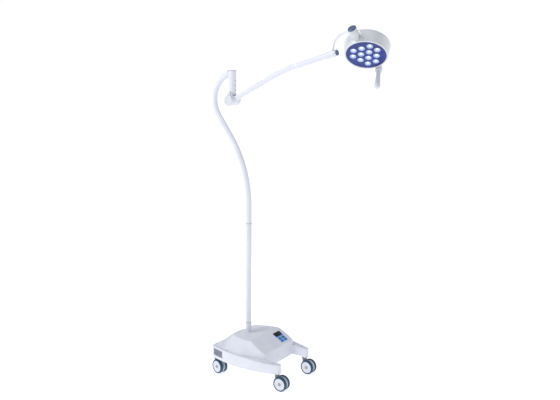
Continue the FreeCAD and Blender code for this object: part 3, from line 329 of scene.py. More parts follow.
def cutAway(mesh, cutters):
    # takes each cutter out of the mesh
    worked = bpy.data.objects.new("worked", mesh)
    scene.collection.objects.link(worked)
    tools = []
    for cutter in cutters:
        tool = bpy.data.objects.new("cutter", cutter)
        scene.collection.objects.link(tool)
        modifier = worked.modifiers.new("cut", "BOOLEAN")
        modifier.operation = "DIFFERENCE"
        modifier.solver = "EXACT"
        modifier.object = tool
        tools.append(tool)
    graph = bpy.context.evaluated_depsgraph_get()
    result = bpy.data.meshes.new_from_object(worked.evaluated_get(graph), depsgraph=graph)
    for item in [worked] + tools:
        bpy.data.objects.remove(item)
    result.shade_smooth()
    result.set_sharp_from_angle(angle=math.radians(35))
    return result


# Geometry Nodes trees
def startTree(name, inputs):
    tree = bpy.data.node_groups.new(name, "GeometryNodeTree")
    tree.interface.new_socket("Geometry", in_out="INPUT", socket_type="NodeSocketGeometry")
    for label, kind in inputs:
        tree.interface.new_socket(label, in_out="INPUT", socket_type="NodeSocket" + kind)
    tree.interface.new_socket("Geometry", in_out="OUTPUT", socket_type="NodeSocketGeometry")
    return tree, tree.nodes.new("NodeGroupInput")


def endTree(tree, given, geometry):
    whole = addNode(tree, "GeometryNodeRealizeInstances", links={"Geometry": geometry})
    painted = addNode(tree, "GeometryNodeSetMaterial", links={"Geometry": whole.outputs[0],
                                                              "Material": given.outputs["Material"]})
    addNode(tree, "NodeGroupOutput", links={0: painted.outputs[0]})
    return tree


def makeTubeTree():
    # sweeps a round tube along a curve
    tree, given = startTree("sweptTube", [("Radius", "Float"), ("Sides", "Int"), ("Material", "Material")])
    circle = addNode(tree, "GeometryNodeCurvePrimitiveCircle",
                     links={"Resolution": given.outputs["Sides"], "Radius": given.outputs["Radius"]})
    sweep = addNode(tree, "GeometryNodeCurveToMesh", {"Fill Caps": True},
                    {"Curve": given.outputs["Geometry"], "Profile Curve": circle.outputs["Curve"]})
    return endTree(tree, given, sweep.outputs[0])


def makeRowTree():
    # one part at every point of a mesh
    tree, given = startTree("partAtPoints", [("Part", "Object"), ("Material", "Material")])
    part = addNode(tree, "GeometryNodeObjectInfo", {"transform_space": "ORIGINAL"},
                   {"Object": given.outputs["Part"]})
    spread = addNode(tree, "GeometryNodeInstanceOnPoints",
                     links={"Points": given.outputs["Geometry"], "Instance": part.outputs["Geometry"]})
    return endTree(tree, given, spread.outputs[0])


def makeRingTree():
    # one part repeated round an axis
    tree, given = startTree("partInRing", [("Part", "Object"), ("Count", "Int"), ("Axis", "Vector"),
                                           ("Centre", "Vector"), ("Material", "Material")])
    part = addNode(tree, "GeometryNodeObjectInfo", {"transform_space": "ORIGINAL"},
                   {"Object": given.outputs["Part"]})
    line = addNode(tree, "GeometryNodeMeshLine", {"Offset": (0, 0, 0)}, {"Count": given.outputs["Count"]})
    index = addNode(tree, "GeometryNodeInputIndex")
    share = addNode(tree, "ShaderNodeMath", {"operation": "DIVIDE"},
                    {0: index.outputs[0], 1: given.outputs["Count"]})
    angle = addNode(tree, "ShaderNodeMath", {"operation": "MULTIPLY", 1: math.tau}, {0: share.outputs[0]})
    turn = addNode(tree, "FunctionNodeAxisAngleToRotation",
                   links={"Axis": given.outputs["Axis"], "Angle": angle.outputs[0]})
    spread = addNode(tree, "GeometryNodeInstanceOnPoints",
                     links={"Points": line.outputs[0], "Instance": part.outputs["Geometry"],
                            "Rotation": turn.outputs[0]})
    moved = addNode(tree, "GeometryNodeTransform", links={"Geometry": spread.outputs[0],
                                                          "Translation": given.outputs["Centre"]})
    return endTree(tree, given, moved.outputs[0])


trees = {"tube": makeTubeTree(), "row": makeRowTree(), "ring": makeRingTree()}


def grown(name, tree, source, values, sharp=35):
    # runs a tree on a mesh or curve and gives back a plain mesh
    holder = bpy.data.objects.new(name, source)
    scene.collection.objects.link(holder)
    modifier = holder.modifiers.new(tree, "NODES")
    modifier.node_group = trees[tree]
    for item in trees[tree].interface.items_tree:
        if item.in_out == "INPUT" and item.name in values:
            modifier[item.identifier] = values[item.name]
    graph = bpy.context.evaluated_depsgraph_get()
    mesh = bpy.data.meshes.new_from_object(holder.evaluated_get(graph), depsgraph=graph)
    bpy.data.objects.remove(holder)
    mesh.shade_smooth()
    mesh.set_sharp_from_angle(angle=math.radians(sharp))
    return mesh


def repeated(name, tree, partMesh, spots, values):
    # grows copies of a part; the part itself is taken away afterwards
    part = bpy.data.objects.new(name + "Part", partMesh)
    scene.collection.objects.link(part)
    points = bpy.data.meshes.new(name)
    points.from_pydata([tuple(spot) for spot in spots], [], [])
    mesh = grown(name, tree, points, {"Part": part, **values})
    bpy.data.objects.remove(part)
    return mesh


def centreLine(start, heading, runs):
    # a bent tube's line in the XZ plane, in millimetres: (length,) runs straight, (radius, turn, side) bends
    point = Vector((start[0], 0, start[1]))
    angle = math.radians(heading)
    line = [point.copy()]
    for run in runs:
        if len(run) == 1:
            point = point + Vector((math.cos(angle), 0, math.sin(angle))) * run[0]
            line.append(point.copy())
            continue
        radius, turn, side = run
        steps = max(6, int(turn / 2))
        centre = point + Vector((-math.sin(angle), 0, math.cos(angle))) * radius * side
        for step in range(steps):
            angle += side * math.radians(turn) / steps
            point = centre - Vector((-math.sin(angle), 0, math.cos(angle))) * radius * side
            line.append(point.copy())
    return line


def tube(name, line, radius, place, sides=40):
    curve = bpy.data.curves.new(name, "CURVE")
    curve.dimensions = "3D"
    spline = curve.splines.new("POLY")
    spline.points.add(len(line) - 1)
    for point, at in zip(spline.points, line):
        point.co = (*(place @ at), 1)
    return grown(name, "tube", curve, {"Radius": radius * 0.001, "Sides": sides})


millimetres = Matrix.Scale(0.001, 4)


def placed(at, rotation=None):
    # millimetres drawn at a spot of the row frame, which is in metres
    turn = rotation.to_4x4() if rotation is not None else Matrix.Identity(4)
    return Matrix.Translation(Vector(at)) @ turn @ millimetres


def axes(x, y, z):
    return Matrix((x, y, z)).transposed()


alongX = Matrix.Rotation(math.radians(90), 3, "Y")
alongY = Matrix.Rotation(math.radians(-90), 3, "X")
print("tools ready")

# places read from the joints
hubAt = Vector(joints["arm_lift"]["pos_m"])
stemAt = Vector(joints["yoke_swivel"]["pos_m"])
knuckleAt = Vector(joints["head_turn"]["pos_m"])
pinAxis = Vector(joints["head_turn"]["axis"])
rodAxis = Vector(joints["knuckle_roll"]["axis"])
up = Vector((0, 0, 1))
headAim = {"lean": 33.7, "turn": 16.2, "faceRadius": 96.6, "bracketGap": 8.5, "pivotBack": 19.3,
           "neck": 8.5, "knuckleHalf": 26}
rodSide = up.cross(rodAxis)
lean, turnAngle = math.radians(headAim["lean"]), math.radians(headAim["turn"])
toKnuckle = -rodSide * math.cos(lean) + up * math.sin(lean)
facing = ((-rodSide * math.sin(lean) - up * math.cos(lean)) * math.cos(turnAngle)
          + rodAxis * math.sin(turnAngle))
headRoot = (knuckleAt - pinAxis * (headAim["knuckleHalf"] + headAim["neck"]) * 0.001
            - toKnuckle * (headAim["faceRadius"] + headAim["bracketGap"]) * 0.001)
faceAt = headRoot + facing * headAim["pivotBack"] * 0.001
headAxes = axes(toKnuckle, (-facing).cross(toKnuckle), -facing)
headPlace = placed(faceAt, headAxes)
knuckleAxes = axes(rodAxis, pinAxis.cross(rodAxis), pinAxis)
knucklePlace = placed(knuckleAt, knuckleAxes)


# base cover: a skirt with two legs, and a hump over it
skirtShape = {"rearX": -140, "rearHalf": 142, "tipX": 294, "tipHalf": 147, "tipInner": 117, "rootX": 200,
              "rootInner": 130, "bend": 600, "low": 85, "top": 147, "edge": 4.5, "lip": 3, "hollow": 95,
              "tipDrop": 13}


def skirtOutline():
    s = skirtShape
    start, end = Vector((s["rearX"], -s["rearHalf"])), Vector((s["tipX"], -s["tipHalf"]))
    half = (end - start).length / 2
    outward = Vector(((end - start).y, -(end - start).x)).normalized()
    centre = (start + end) / 2 - outward * math.sqrt(s["bend"] ** 2 - half ** 2)
    side = []
    for step in range(1, 24):
        arm = (start - centre).lerp(end - centre, step / 24).normalized() * s["bend"]
        side.append(tuple(centre + arm))
    near = ([(s["rearX"], -s["rearHalf"], 14)] + side
            + [(s["tipX"], -s["tipHalf"], 10), (s["tipX"], -s["tipInner"], 10),
               (s["rootX"], -s["rootInner"], 7)])
    far = [(corner[0], -corner[1], *corner[2:]) for corner in reversed(near)]
    return softCorners(near + far, steps=5)


def topDrop(x):
    # the legs' top falls towards their tips
    return skirtShape["tipDrop"] * ease(50, 290, x)


def skirtMesh():
    s = skirtShape
    outline = skirtOutline()
    rows = [(s["lip"], s["hollow"]), (s["lip"], s["low"]), (0.6, s["low"]), (0, s["low"] + 0.8)]
    for step in range(7):
        a = step * math.pi / 12
        rows.append((s["edge"] * (1 - math.cos(a)), s["top"] - s["edge"] * (1 - math.sin(a))))
    tall = s["top"] - s["low"]
    loops = [[(p.x, p.y, z - topDrop(p.x) * max(0, z - s["low"]) / tall) for p in inset(outline, distance)]
             for distance, z in rows]
    return lofted("skirt", loops, millimetres)


humpShape = {"rows": 44, "ridgeX": 110, "ridgeZ": 218, "slopeLow": 165, "frontX": 200, "rearDrop": 0.12,
             "shoulder": 12, "ridgeRound": 4, "footZ": 146.2, "rimRise": 14, "frontEdge": 3, "frontLow": 90}
# rise over run of the hump's wall, from its rear corner to its upright front
wallRuns = [(-140, 0.42), (-78, 0.45), (-55, 0.6), (-36, 1.08), (13, 1.3), (60, 1.5), (107, 2.3), (150, 3.5),
            (200, 8)]
humpFoot = [(-133, -96, 30), (-112, -139, 34), (60, -175, 90), (200, -134, 2),
            (200, 134, 2), (60, 175, 90), (-112, 139, 34), (-133, 96, 30)]


def smoothMin(a, b, width):
    h = max(width - abs(a - b), 0) / width
    return min(a, b) - h * h * width / 4


def ease(low, high, value):
    t = min(1, max(0, (value - low) / (high - low)))
    return t * t * (3 - 2 * t)


def deckHeight(x, y):
    # the deck falls gently to the back, is dished round the column and has a raised rim on both sides
    h = humpShape
    base = h["ridgeZ"] - h["rearDrop"] * (h["ridgeX"] - x)
    rimFoot = 62 + 62 * ease(-60, 90, x)
    rimCrest = 96 + 34 * ease(-60, 100, x)
    rim = ease(rimFoot, rimCrest, abs(y)) * ease(-66, -34, x)
    lift = min(h["rimRise"], h["ridgeZ"] - 1 - base) if x < h["ridgeX"] else 0
    deck = base + rim * max(lift, 0)
    slope = h["ridgeZ"] - (x - h["ridgeX"]) * (h["ridgeZ"] - h["slopeLow"]) / (h["frontX"] - h["ridgeX"])
    return smoothMin(deck, slope, h["ridgeRound"])


def wallSteepness(x):
    for (x0, low), (x1, high) in zip(wallRuns, wallRuns[1:]):
        if x <= x1:
            return low + (high - low) * max(0, x - x0) / (x1 - x0)
    return wallRuns[-1][1]


def humpMesh():
    h = humpShape
    outline = softCorners(humpFoot, steps=14)
    dense = []
    for i, point in enumerate(outline):
        after = outline[(i + 1) % len(outline)]
        pieces = max(1, int((after - point).length / 6))
        dense += [point.lerp(after, step / pieces) for step in range(pieces)]
    front = h["frontX"] - 0.5
    loops = [[(p.x + 0.3, p.y, h["frontLow"]) if p.x > front else (p.x, p.y, h["footZ"] - 14) for p in dense]]
    reaches = [0, 0.6, 1.4, 2.6, 4.2, 6.4, 9] + [9 + 3.1 * step for step in range(1, h["rows"])]
    for reach in reaches:
        loop = []
        for p in dense:
            spine = Vector((min(max(p.x, -70), 140), 0))
            inward = spine - p
            gone = inward.normalized() * min(reach, inward.length * (1 - 0.002))
            if reach > 9:
                gone = inward.normalized() * (9 + (inward.length - 9.4) * (reach - 9) / (reaches[-1] - 9))
            q = p + gone
            z = deckHeight(q.x, q.y)
            if p.x < front:
                width = h["shoulder"] * (1 - 0.7 * ease(90, 190, p.x))
                z = smoothMin(h["footZ"] + gone.length * wallSteepness(p.x), z, width)
            deep = min(1, max(0, (h["frontX"] - q.x) / h["frontEdge"]))
            z -= h["frontEdge"] * (1 - math.sqrt(1 - (1 - deep) ** 2)) * (1 if p.x > front else 0.3)
            loop.append((q.x + (0.3 if p.x > front and reach == 0 else 0), q.y, z))
        loops.append(loop)
    return lofted("hump", loops, millimetres, sharp=40)


panelSlope = math.atan2(humpShape["ridgeZ"] - humpShape["slopeLow"],
                        humpShape["frontX"] - humpShape["ridgeX"])
panelRidge = (humpShape["ridgeX"] / 1000, 0, humpShape["ridgeZ"] / 1000)
panelPlace = placed(panelRidge, Matrix.Rotation(panelSlope, 3, "Y"))
panelShape = {"start": 21, "long": 68, "wide": 58, "middle": 74}
grilleShape = {"x": -82, "y": 158.5, "z": 119, "turn": 16, "long": 76, "tall": 38}


def grillePlace(side):
    g = grilleShape
    turn = Matrix.Rotation(math.radians(side * g["turn"] + (180 if side < 0 else 0)), 3, "Z")
    return placed((g["x"] / 1000, side * g["y"] / 1000, g["z"] / 1000), turn)


rearHoles = {"front": -160, "z": 116, "inletY": 32, "inletWide": 50.6, "inletTall": 31.6, "inletDeep": 38,
             "switchY": -26, "switchWide": 25.8, "switchTall": 15.6, "switchDeep": 34}


def rearCutter(part):
    r = rearHoles
    y, wide, tall = r[part + "Y"], r[part + "Wide"], r[part + "Tall"]
    return lofted("cutter", box((r["front"], y - wide / 2, r["z"] - tall / 2),
                                (r["front"] + r[part + "Deep"], y + wide / 2, r["z"] + tall / 2)),
                                millimetres)


def buildCover():
    p, g = panelShape, grilleShape
    window = lofted("cutter", box((p["start"], p["middle"] - p["wide"] / 2, -9),
                                  (p["start"] + p["long"], p["middle"] + p["wide"] / 2, 20)), panelPlace)
    mast = turned("cutter", [(0, 150), (16.4, 150), (16.4, 240), (0, 240)], millimetres)
    hump = cutAway(humpMesh(), [window, mast])
    pockets = [lofted("cutter", box((-g["long"] / 2 - 0.4, -9, -g["tall"] / 2 - 0.4),
                                    (g["long"] / 2 + 0.4, 30, g["tall"] / 2 + 0.4)), grillePlace(side))
               for side in (-1, 1)]
    skirt = cutAway(skirtMesh(), pockets + [rearCutter("inlet"), rearCutter("switch")])
    addPiece("baseCover", joined("baseCover", [skirt, hump]), "base", "texturedAbs",
             ["base_cover"])


buildCover()
print("base cover made")


# side grilles
louvres = {"count": 7, "pitch": 4.6, "deep": 5, "thick": 1.3, "tilt": 32, "border": 4}


def buildGrilles():
    g, b = grilleShape, louvres
    whole = []
    for side in (-1, 1):
        place = grillePlace(side)
        halfX, halfZ = g["long"] / 2, g["tall"] / 2
        outer = softCorners([(-halfX, -halfZ, 3), (halfX, -halfZ, 3), (halfX, halfZ, 3), (-halfX, halfZ, 3)])
        rows = [(0, -4), (0, 1.6), (0.5, 2.2), (b["border"] - 0.5, 2.2), (b["border"], 1.6),
                (b["border"], -4)]
        loops = [[(p.x, y, p.y) for p in inset(outer, distance)] for distance, y in rows]
        whole.append(lofted("frame", loops + [loops[0]], place, caps=False))
        whole.append(lofted("back", box((-halfX + 1, -5, -halfZ + 1), (halfX - 1, -4, halfZ - 1)), place))
        tilt = Matrix.Rotation(math.radians(-b["tilt"]), 4, "X")
        reach = halfX - b["border"] + 0.5
        blade = softCorners([(-reach, -b["thick"] / 2, 0.5), (reach, -b["thick"] / 2, 0.5),
                             (reach, b["thick"] / 2, 0.5), (-reach, b["thick"] / 2, 0.5)])
        bladeMesh = lofted("blade", [[(p.x, y, p.y) for p in blade] for y in (-b["deep"] / 2, b["deep"] / 2)],
                           grillePlace(side).to_3x3().to_4x4() @ tilt)
        spots = [place @ Vector((0, -0.8,
                                 (i - (b["count"] - 1) / 2) * b["pitch"])) for i in range(b["count"])]
        whole.append(repeated("blades", "row", bladeMesh, spots, {}))
    addPiece("sideGrilles", joined("sideGrilles", whole), "base", "greyNylon",
             ["side_grilles"])


buildGrilles()
print("grilles made")


# control panel
keyShape = {"long": 13, "wide": 19, "corner": 3.5, "edge": 1.1, "low": -3.4, "high": 1.9, "gap": 0.4,
            "post": 2, "postLow": -6}
displayCorners = (23.2, 51, 47, 97)
keys = {"key_power": (63.5, 59.5, "tealKey", "key_green"), "key_mode": (63.5, 88.5, "tealKey", "key_green"),
        "key_down": (80.5, 59.5, "blueKey", "key_blue"), "key_up": (80.5, 88.5, "blueKey", "key_blue")}


def roundRect(x0, y0, x1, y1, corner):
    return softCorners([(x0, y0, corner), (x1, y0, corner), (x1, y1, corner), (x0, y1, corner)])


def keyOutline(x, y, gap):
    halfLong, halfWide = keyShape["long"] / 2 + gap, keyShape["wide"] / 2 + gap
    return roundRect(x - halfLong, y - halfWide, x + halfLong, y + halfWide, keyShape["corner"] + gap)


def makeMembrane():
    # screen-printed polyester: black round the display, then blue, then a paler blue field for the keys
    material = makeFinish("printedMembrane",
                          {"color": "#3A6FD0", "shade": "#3567C4", "drift": 20, "rough": (0.3, 0.4),
                                              "grain": 0.6, "depth": 0.02, "coat": 0.2})
    tree = material.node_tree
    shader = tree.nodes["Principled BSDF"]
    place = addNode(tree, "ShaderNodeTexCoord").outputs["Object"]
    local = addNode(tree, "ShaderNodeMapping", {"vector_type": "TEXTURE", "Location": panelRidge,
                                                "Rotation": (0, panelSlope, 0)}, {"Vector": place})
    split = addNode(tree, "ShaderNodeSeparateXYZ", links={"Vector": local.outputs[0]})
    zone = addNode(tree, "ShaderNodeMapRange", {"From Min": 0.046, "From Max": 0.055},
                   {"Value": split.outputs["X"]})
    top = addNode(tree, "ShaderNodeMapRange", {"From Min": 0.040, "From Max": 0.041},
                  {"Value": split.outputs["X"]})
    field = shader.inputs["Base Color"].links[0].from_socket
    lower = addNode(tree, "ShaderNodeMix", {"data_type": "RGBA", 7: toLinear("#8DB6EE")},
                    {0: zone.outputs[0], 6: field})
    mix = addNode(tree, "ShaderNodeMix", {"data_type": "RGBA", 6: toLinear("#0D1320")},
                  {0: top.outputs[0], 7: lower.outputs[2]})
    tree.links.new(mix.outputs[2], shader.inputs["Base Color"])
    return material


materials["printedMembrane"] = makeMembrane()


def buildPanel():
    p, k = panelShape, keyShape
    x0, x1 = p["start"] - 1.5, p["start"] + p["long"] + 1.5
    y0, y1 = p["middle"] - p["wide"] / 2 - 1.5, p["middle"] + p["wide"] / 2 + 1.5
    skin = slab("skin", roundRect(x0, y0, x1, y1, 5), -0.6, 1, 0.5, panelPlace)
    insert = slab("insert", roundRect(x0 + 2, y0 + 2, x1 - 2, y1 - 2, 3), -3, 0.2, 0.3,
                  panelPlace)  # fills the seat
    holes = [slab("cutter", keyOutline(x, y, k["gap"]), -8, 8, 0.2, panelPlace) for x, y, _,
             _ in keys.values()]
    holes.append(slab("cutter", roundRect(*displayCorners, 2), -8, 8, 0.2, panelPlace))
    overlay = joined("overlay", [cutAway(skin, holes), cutAway(insert, holes)])
    addPiece("controlPanel", overlay, "base", "printedMembrane", ["control_panel"])
    window = slab("window", roundRect(*displayCorners, 2), -4, 0.8, 0.4, panelPlace)
    addPiece("displayWindow", window, "base", "smokedAcrylic", ["display_window"])
    for name, (x, y, material, slotName) in keys.items():
        cap = slab(name, keyOutline(x, y, 0), k["low"], k["high"], k["edge"], panelPlace)
        post = roundRect(x - k["post"], y - k["post"], x + k["post"], y + k["post"], 0.5)
        stem = slab("stem", post, k["postLow"], k["low"] + 0.5, 0.2, panelPlace)
        addPiece(name + "Cap", joined(name, [cap, stem]), name + "_body", material, [name])


buildPanel()
print("panel made")

# column
columnShape = {"radius": 14.5, "bore": 13, "floor": 94, "flange": 42, "stubTop": 262, "joint": 803.5,
               "ring": 5}


def buildColumn():
    c = columnShape
    r, floor, top = c["radius"], c["floor"], c["stubTop"] - 2.5
    socket = turned("socket", softCorners([
        (r - 0.1, floor), (c["flange"], floor, 1), (c["flange"], floor + 7, 2), (r + 1, floor + 7, 3),
        (r + 1, top, 0.6), (r - 0.1, top)]), millimetres, ring=True)
    addPiece("columnSocket", socket, "base", "powderCoat", ["column_socket"])
    lower = turned("lower", softCorners([(c["bore"], floor), (r, floor, 0.3), (r, c["joint"] - 2.5, 0.5),
                                         (c["bore"], c["joint"] - 2.5)]), millimetres, ring=True)
    addPiece("lowerColumn", lower, "base", "powderCoat", ["lower_column"])
    rings, shadeBands = [], []
    half = c["ring"] / 2
    for height in (c["stubTop"], c["joint"]):
        rings.append(turned("ring", softCorners([
            (c["bore"], height - half), (r + 1.6, height - half, 1), (r + 1.6, height + half, 1),
            (c["bore"], height + half)]), millimetres, ring=True))
        # a grey band at each ring is painted shadow, standing in for the thin gap at the joint
        shadeBands.append(turned("shadeBand", softCorners([
            (r + 0.5, height - 1.4), (r + 2, height - 1.4, 0.5), (r + 2, height + 1.4, 0.5),
            (r + 0.5, height + 1.4)]), millimetres, ring=True))
    deck = deckHeight(0, 0)
    rings.append(turned("deckRing", softCorners([
        (r + 1.1, deck - 5), (r + 4.9, deck - 5), (r + 4.9, deck + 1.5, 1.5), (r + 2.5, deck + 4, 2),
        (r + 2.1, deck + 9, 0.6), (r + 1.1, deck + 9)]), millimetres, ring=True))
    addPiece("columnRings", joined("columnRings", rings), "base", "powderCoat",
             ["column_rings"])
    # the grey bands paint the shadow of the gaps at the column's joints
    addPiece("jointSeals", joined("jointSeals", shadeBands), "base", "greyNylon")
    # straight up, a long bend back, a straight lean, then a tight bend forward into the sleeve
    swan = centreLine((0, c["joint"] + 2.5), 90, [(88,), (600, 36, 1), (141,), (140, 108, -1), (6,)])
    addPiece("swanNeck", tube("swanNeck", swan, r, millimetres, 56), "base", "powderCoat",
             ["upper_column"])
    # the weld where the neck meets the sleeve
    bead = turned("bead", softCorners([(13.5, -3), (15, -3, 0.5), (17, 1.5, 1.2), (15, 3), (13.5, 3)]),
                  placed((hubAt.x - 0.0212, 0, 1.5776), Matrix.Rotation(math.radians(72), 3, "Y")), ring=True)
    addPiece("weldBead", bead, "base", "powderCoat")


buildColumn()


# swivel sleeve
sleeveShape = {"low": 1485, "top": 1591, "radius": 20, "bore": 15.1, "plug": 14.5,
               "screws": (1494, 1518, 1542)}


def buildSleeve():
    s = sleeveShape
    r, low, top = s["radius"], s["low"], s["top"]
    here = placed((hubAt.x, 0, 0))
    body = turned("sleeve", softCorners([(s["bore"], low), (r, low, 1.5), (r, top, 1), (s["bore"], top)]),
                  here, ring=True)
    addPiece("swivelSleeve", body, "base", "powderCoat", ["swivel_sleeve"])
    cap = turned("cap", softCorners([
        (0, top - 2), (s["plug"], top - 2), (s["plug"], top), (r, top), (r, top + 1.6, 1.2), (14, top + 3, 3),
        (0, top + 3)], closed=False), here)
    addPiece("sleeveCap", cap, "base", "greyNylon", ["sleeve_cap"])
    screw = turned("screw",
                   softCorners([(0, -6), (3, -6), (3, 3.3, 0.5), (1.6, 3.5), (1.6, 1.6), (0, 1.2)],
                               closed=False),
                   alongX.to_4x4() @ millimetres, steps=24)
    spots = [(hubAt.x + r * 0.001, 0, height * 0.001) for height in s["screws"]]
    addPiece("sleeveScrews", repeated("sleeveScrews", "row", screw, spots, {}), "base", "zincSteel",
             ["sleeve_screws"])


buildSleeve()


# hub
hubShape = {"radius": 27, "half": 38.5, "cap": 6, "drumHalf": 14, "gap": 15.8, "bolt": 6, "spindle": 12.5}


def buildHub():
    h = hubShape
    here = placed(hubAt, alongY)
    r, bolt, spin = h["radius"], h["bolt"], h["spindle"]
    outside = h["half"] - h["cap"]
    cheeks = [turned("cheek", softCorners([(bolt, low), (r, low, 1), (r, high, 1), (bolt, high)]), here,
                     ring=True)
              for low, high in ((-outside, -h["gap"]), (h["gap"], outside))]
    bridge = roundRect(-13, -outside + 3, 5, outside - 3, 4)
    neck = slab("neck", bridge, 30, 41, 2, placed(hubAt))
    webs = [slab("web", roundRect(-13, low, 5, high, 2), 8, 34, 0.5, placed(hubAt))
            for low, high in ((-outside + 3, -h["gap"]), (h["gap"], outside - 3))]
    spindle = turned("spindle", softCorners([
        (0, 38), (17, 38, 0.5), (17, 43.2, 1), (spin, 43.2), (spin, 145, 1), (0, 145)], closed=False),
        placed(hubAt))
    addPiece("hubFork", joined("hubFork", cheeks + [neck, spindle] + webs), "swivel_fork", "powderCoat",
             ["hub_fork"])
    caps = []
    for side in (-1, 1):
        facingOut = Matrix.Rotation(math.radians(-90 * side), 3, "X")
        there = placed(hubAt + Vector((0, side * outside * 0.001, 0)), facingOut)
        caps.append(turned("hubCap", softCorners([
            (0, 0), (r - 0.6, 0), (r - 0.6, 0.8), (r, 1, 0.2), (r, 3.6, 1.4), (r - 2.5, h["cap"], 1.5),
            (18, h["cap"], 0.6), (17.4, 5.4, 0.6), (0, 5.2)], closed=False), there))
    addPiece("hubCaps", joined("hubCaps", caps), "swivel_fork", "polishedAbs", ["hub_caps"])
    drum = turned("drum", softCorners([
        (bolt + 0.1, -h["drumHalf"]), (r, -h["drumHalf"], 1), (r, h["drumHalf"], 1),
        (bolt + 0.1, h["drumHalf"])]),
        here, ring=True)
    reach = armShape["start"]
    shoulder = turned("shoulder", softCorners([(0, 8), (14, 8), (14, reach, 1), (0, reach)], closed=False),
                      placed(hubAt, Matrix.Rotation(math.radians(90 - armShape["rise"]), 3, "Y")))
    addPiece("armRoot", joined("armRoot", [drum, shoulder]), "arm", "powderCoat", ["arm_root"])


armShape = {"rise": 26.2, "droop": 15.3, "radius": 13, "start": 31, "run": 288, "bend": 700, "endRun": 192,
            "block": 38, "blockRadius": 16, "capEnd": 52}
buildHub()
print("column and hub made")


# arm
def buildArm():
    a = armShape
    line = centreLine((0, 0), a["rise"],
                      [(a["run"],), (a["bend"], a["rise"] - a["droop"], -1), (a["endRun"],)])
    line[0] = line[0] + (line[1] - line[0]).normalized() * a["start"]
    addPiece("armTube", tube("armTube", line, a["radius"], placed(hubAt), 48), "arm", "powderCoat",
             ["arm_tube"])
    tip = placed(hubAt) @ line[-1]
    there = placed(tip, Matrix.Rotation(math.radians(90 - a["droop"]), 3, "Y"))
    wide, long, capEnd = a["blockRadius"], a["block"], a["capEnd"]
    block = turned("block", softCorners([
        (0, -12), (13.2, -12), (wide, -9, 1.5), (wide, long - 0.2, 1), (13.4, long, 0.4),
        (13.4, long + 5, 0.6),
        (9, long + 5), (9, long), (0, long)], closed=False), there)
    addPiece("armEndBlock", block, "arm", "powderCoat", ["arm_end_block"])
    cap = turned("endCap", softCorners([
        (0, long + 1), (8.7, long + 1), (8.7, long + 5.3), (13.5, long + 5.4, 0.4), (13.5, capEnd - 3, 3),
        (8, capEnd, 3), (0, capEnd)], closed=False), there)
    addPiece("armEndCap", cap, "arm", "slatePolypropylene", ["arm_end_cap"])


buildArm()
print("arm made")

# yoke and knuckle
yokeShape = {"radius": 5, "low": -11, "bend": 78, "reach": 114, "lift": 96.4, "journal": 10, "knuckle": 20}


def buildYoke():
    y = yokeShape
    rise = y["lift"] - y["bend"] - y["low"]
    end = y["reach"] - y["bend"] - y["knuckle"] + y["journal"]
    line = centreLine((0, y["low"]), 90, [(rise,), (y["bend"], 90, -1), (end,)])
    place = placed(stemAt, axes(rodAxis, rodSide, up))
    rod = tube("yokeRod", line, y["radius"], place, 32)
    r = y["radius"]
    collar = turned("collar", softCorners([(r, 16.5), (r + 3, 16.5, 0.5), (r + 3, 19.5, 1), (r, 20.5)]),
                    place, 40,
                    ring=True)
    addPiece("yokeRod", joined("yokeRod", [rod, collar]), "yoke", "powderCoat", ["yoke_rod"])


buildYoke()


knuckleShape = {"radius": 20, "split": 18.6, "ridges": 28}


def buildKnuckle():
    k = knuckleShape
    r, half = k["radius"], headAim["knuckleHalf"]
    shell = turned("shell", softCorners([
        (0, -half), (r - 3, -half, 1), (r, 3.5 - half, 3), (r, k["split"], 0.8), (0, k["split"])],
        closed=False),
        knucklePlace)
    addPiece("knuckleBody", shell, "knuckle", "greyEnamel", ["knuckle_body"])
    cap = turned("cap", softCorners([
        (0, 19), (r + 0.2, 19, 0.5), (r + 0.2, half - 3, 2.5), (r - 4, half, 4), (0, half)], closed=False),
        knucklePlace)
    ridge = slab("ridge", roundRect(r - 0.8, -0.8, r + 0.6, 0.8, 0.5), 19.4, half - 3, 0.4,
                 knuckleAxes.to_4x4() @ millimetres)
    ridges = repeated("ridges", "ring", ridge, [(0, 0, 0)],
                      {"Count": k["ridges"], "Axis": pinAxis, "Centre": knuckleAt})
    addPiece("knuckleCap", joined("knuckleCap", [cap, ridges]), "knuckle", "slatePolypropylene",
             ["knuckle_cap"])


buildKnuckle()
print("yoke and knuckle made")

# lamp head
headShape = {"rim": 102, "back": 110.5, "deep": 57, "face": 96.6, "panel": 2.5, "screws": 6,
             "screwCircle": 86,
             "vents": 24}
# each row of a lens is its radius, its height and how deep the flutes are there
lensShape = {"pitch": 42, "radius": 15, "flutes": 12, "fluteDepth": 0.06, "rows": [
    (15, 4, 0), (15, 0.2, 0), (14.6, -0.5, 0), (13.7, -0.5, 0), (13.2, 0, 0.1), (12, 1.6, 0.4),
    (10.4, 3.4, 0.5),
    (8.8, 5, 0.4), (7.4, 6, 0.1), (6.2, 6.4, 0), (3, 6.6, 0), (0.5, 6.6, 0)]}


def lensSpots():
    # four spots of a triangular grid, turned to make twelve
    p = lensShape["pitch"]
    close, distant = p / math.sqrt(12), 2 * p / math.sqrt(3)
    fourSpots = [(close, p / 2), (distant, 0), (distant, p), (close, 1.5 * p)]
    spots = []
    for third in range(3):
        turn = Matrix.Rotation(third * math.tau / 3, 2)
        spots += [turn @ Vector(spot) for spot in fourSpots]
    return spots


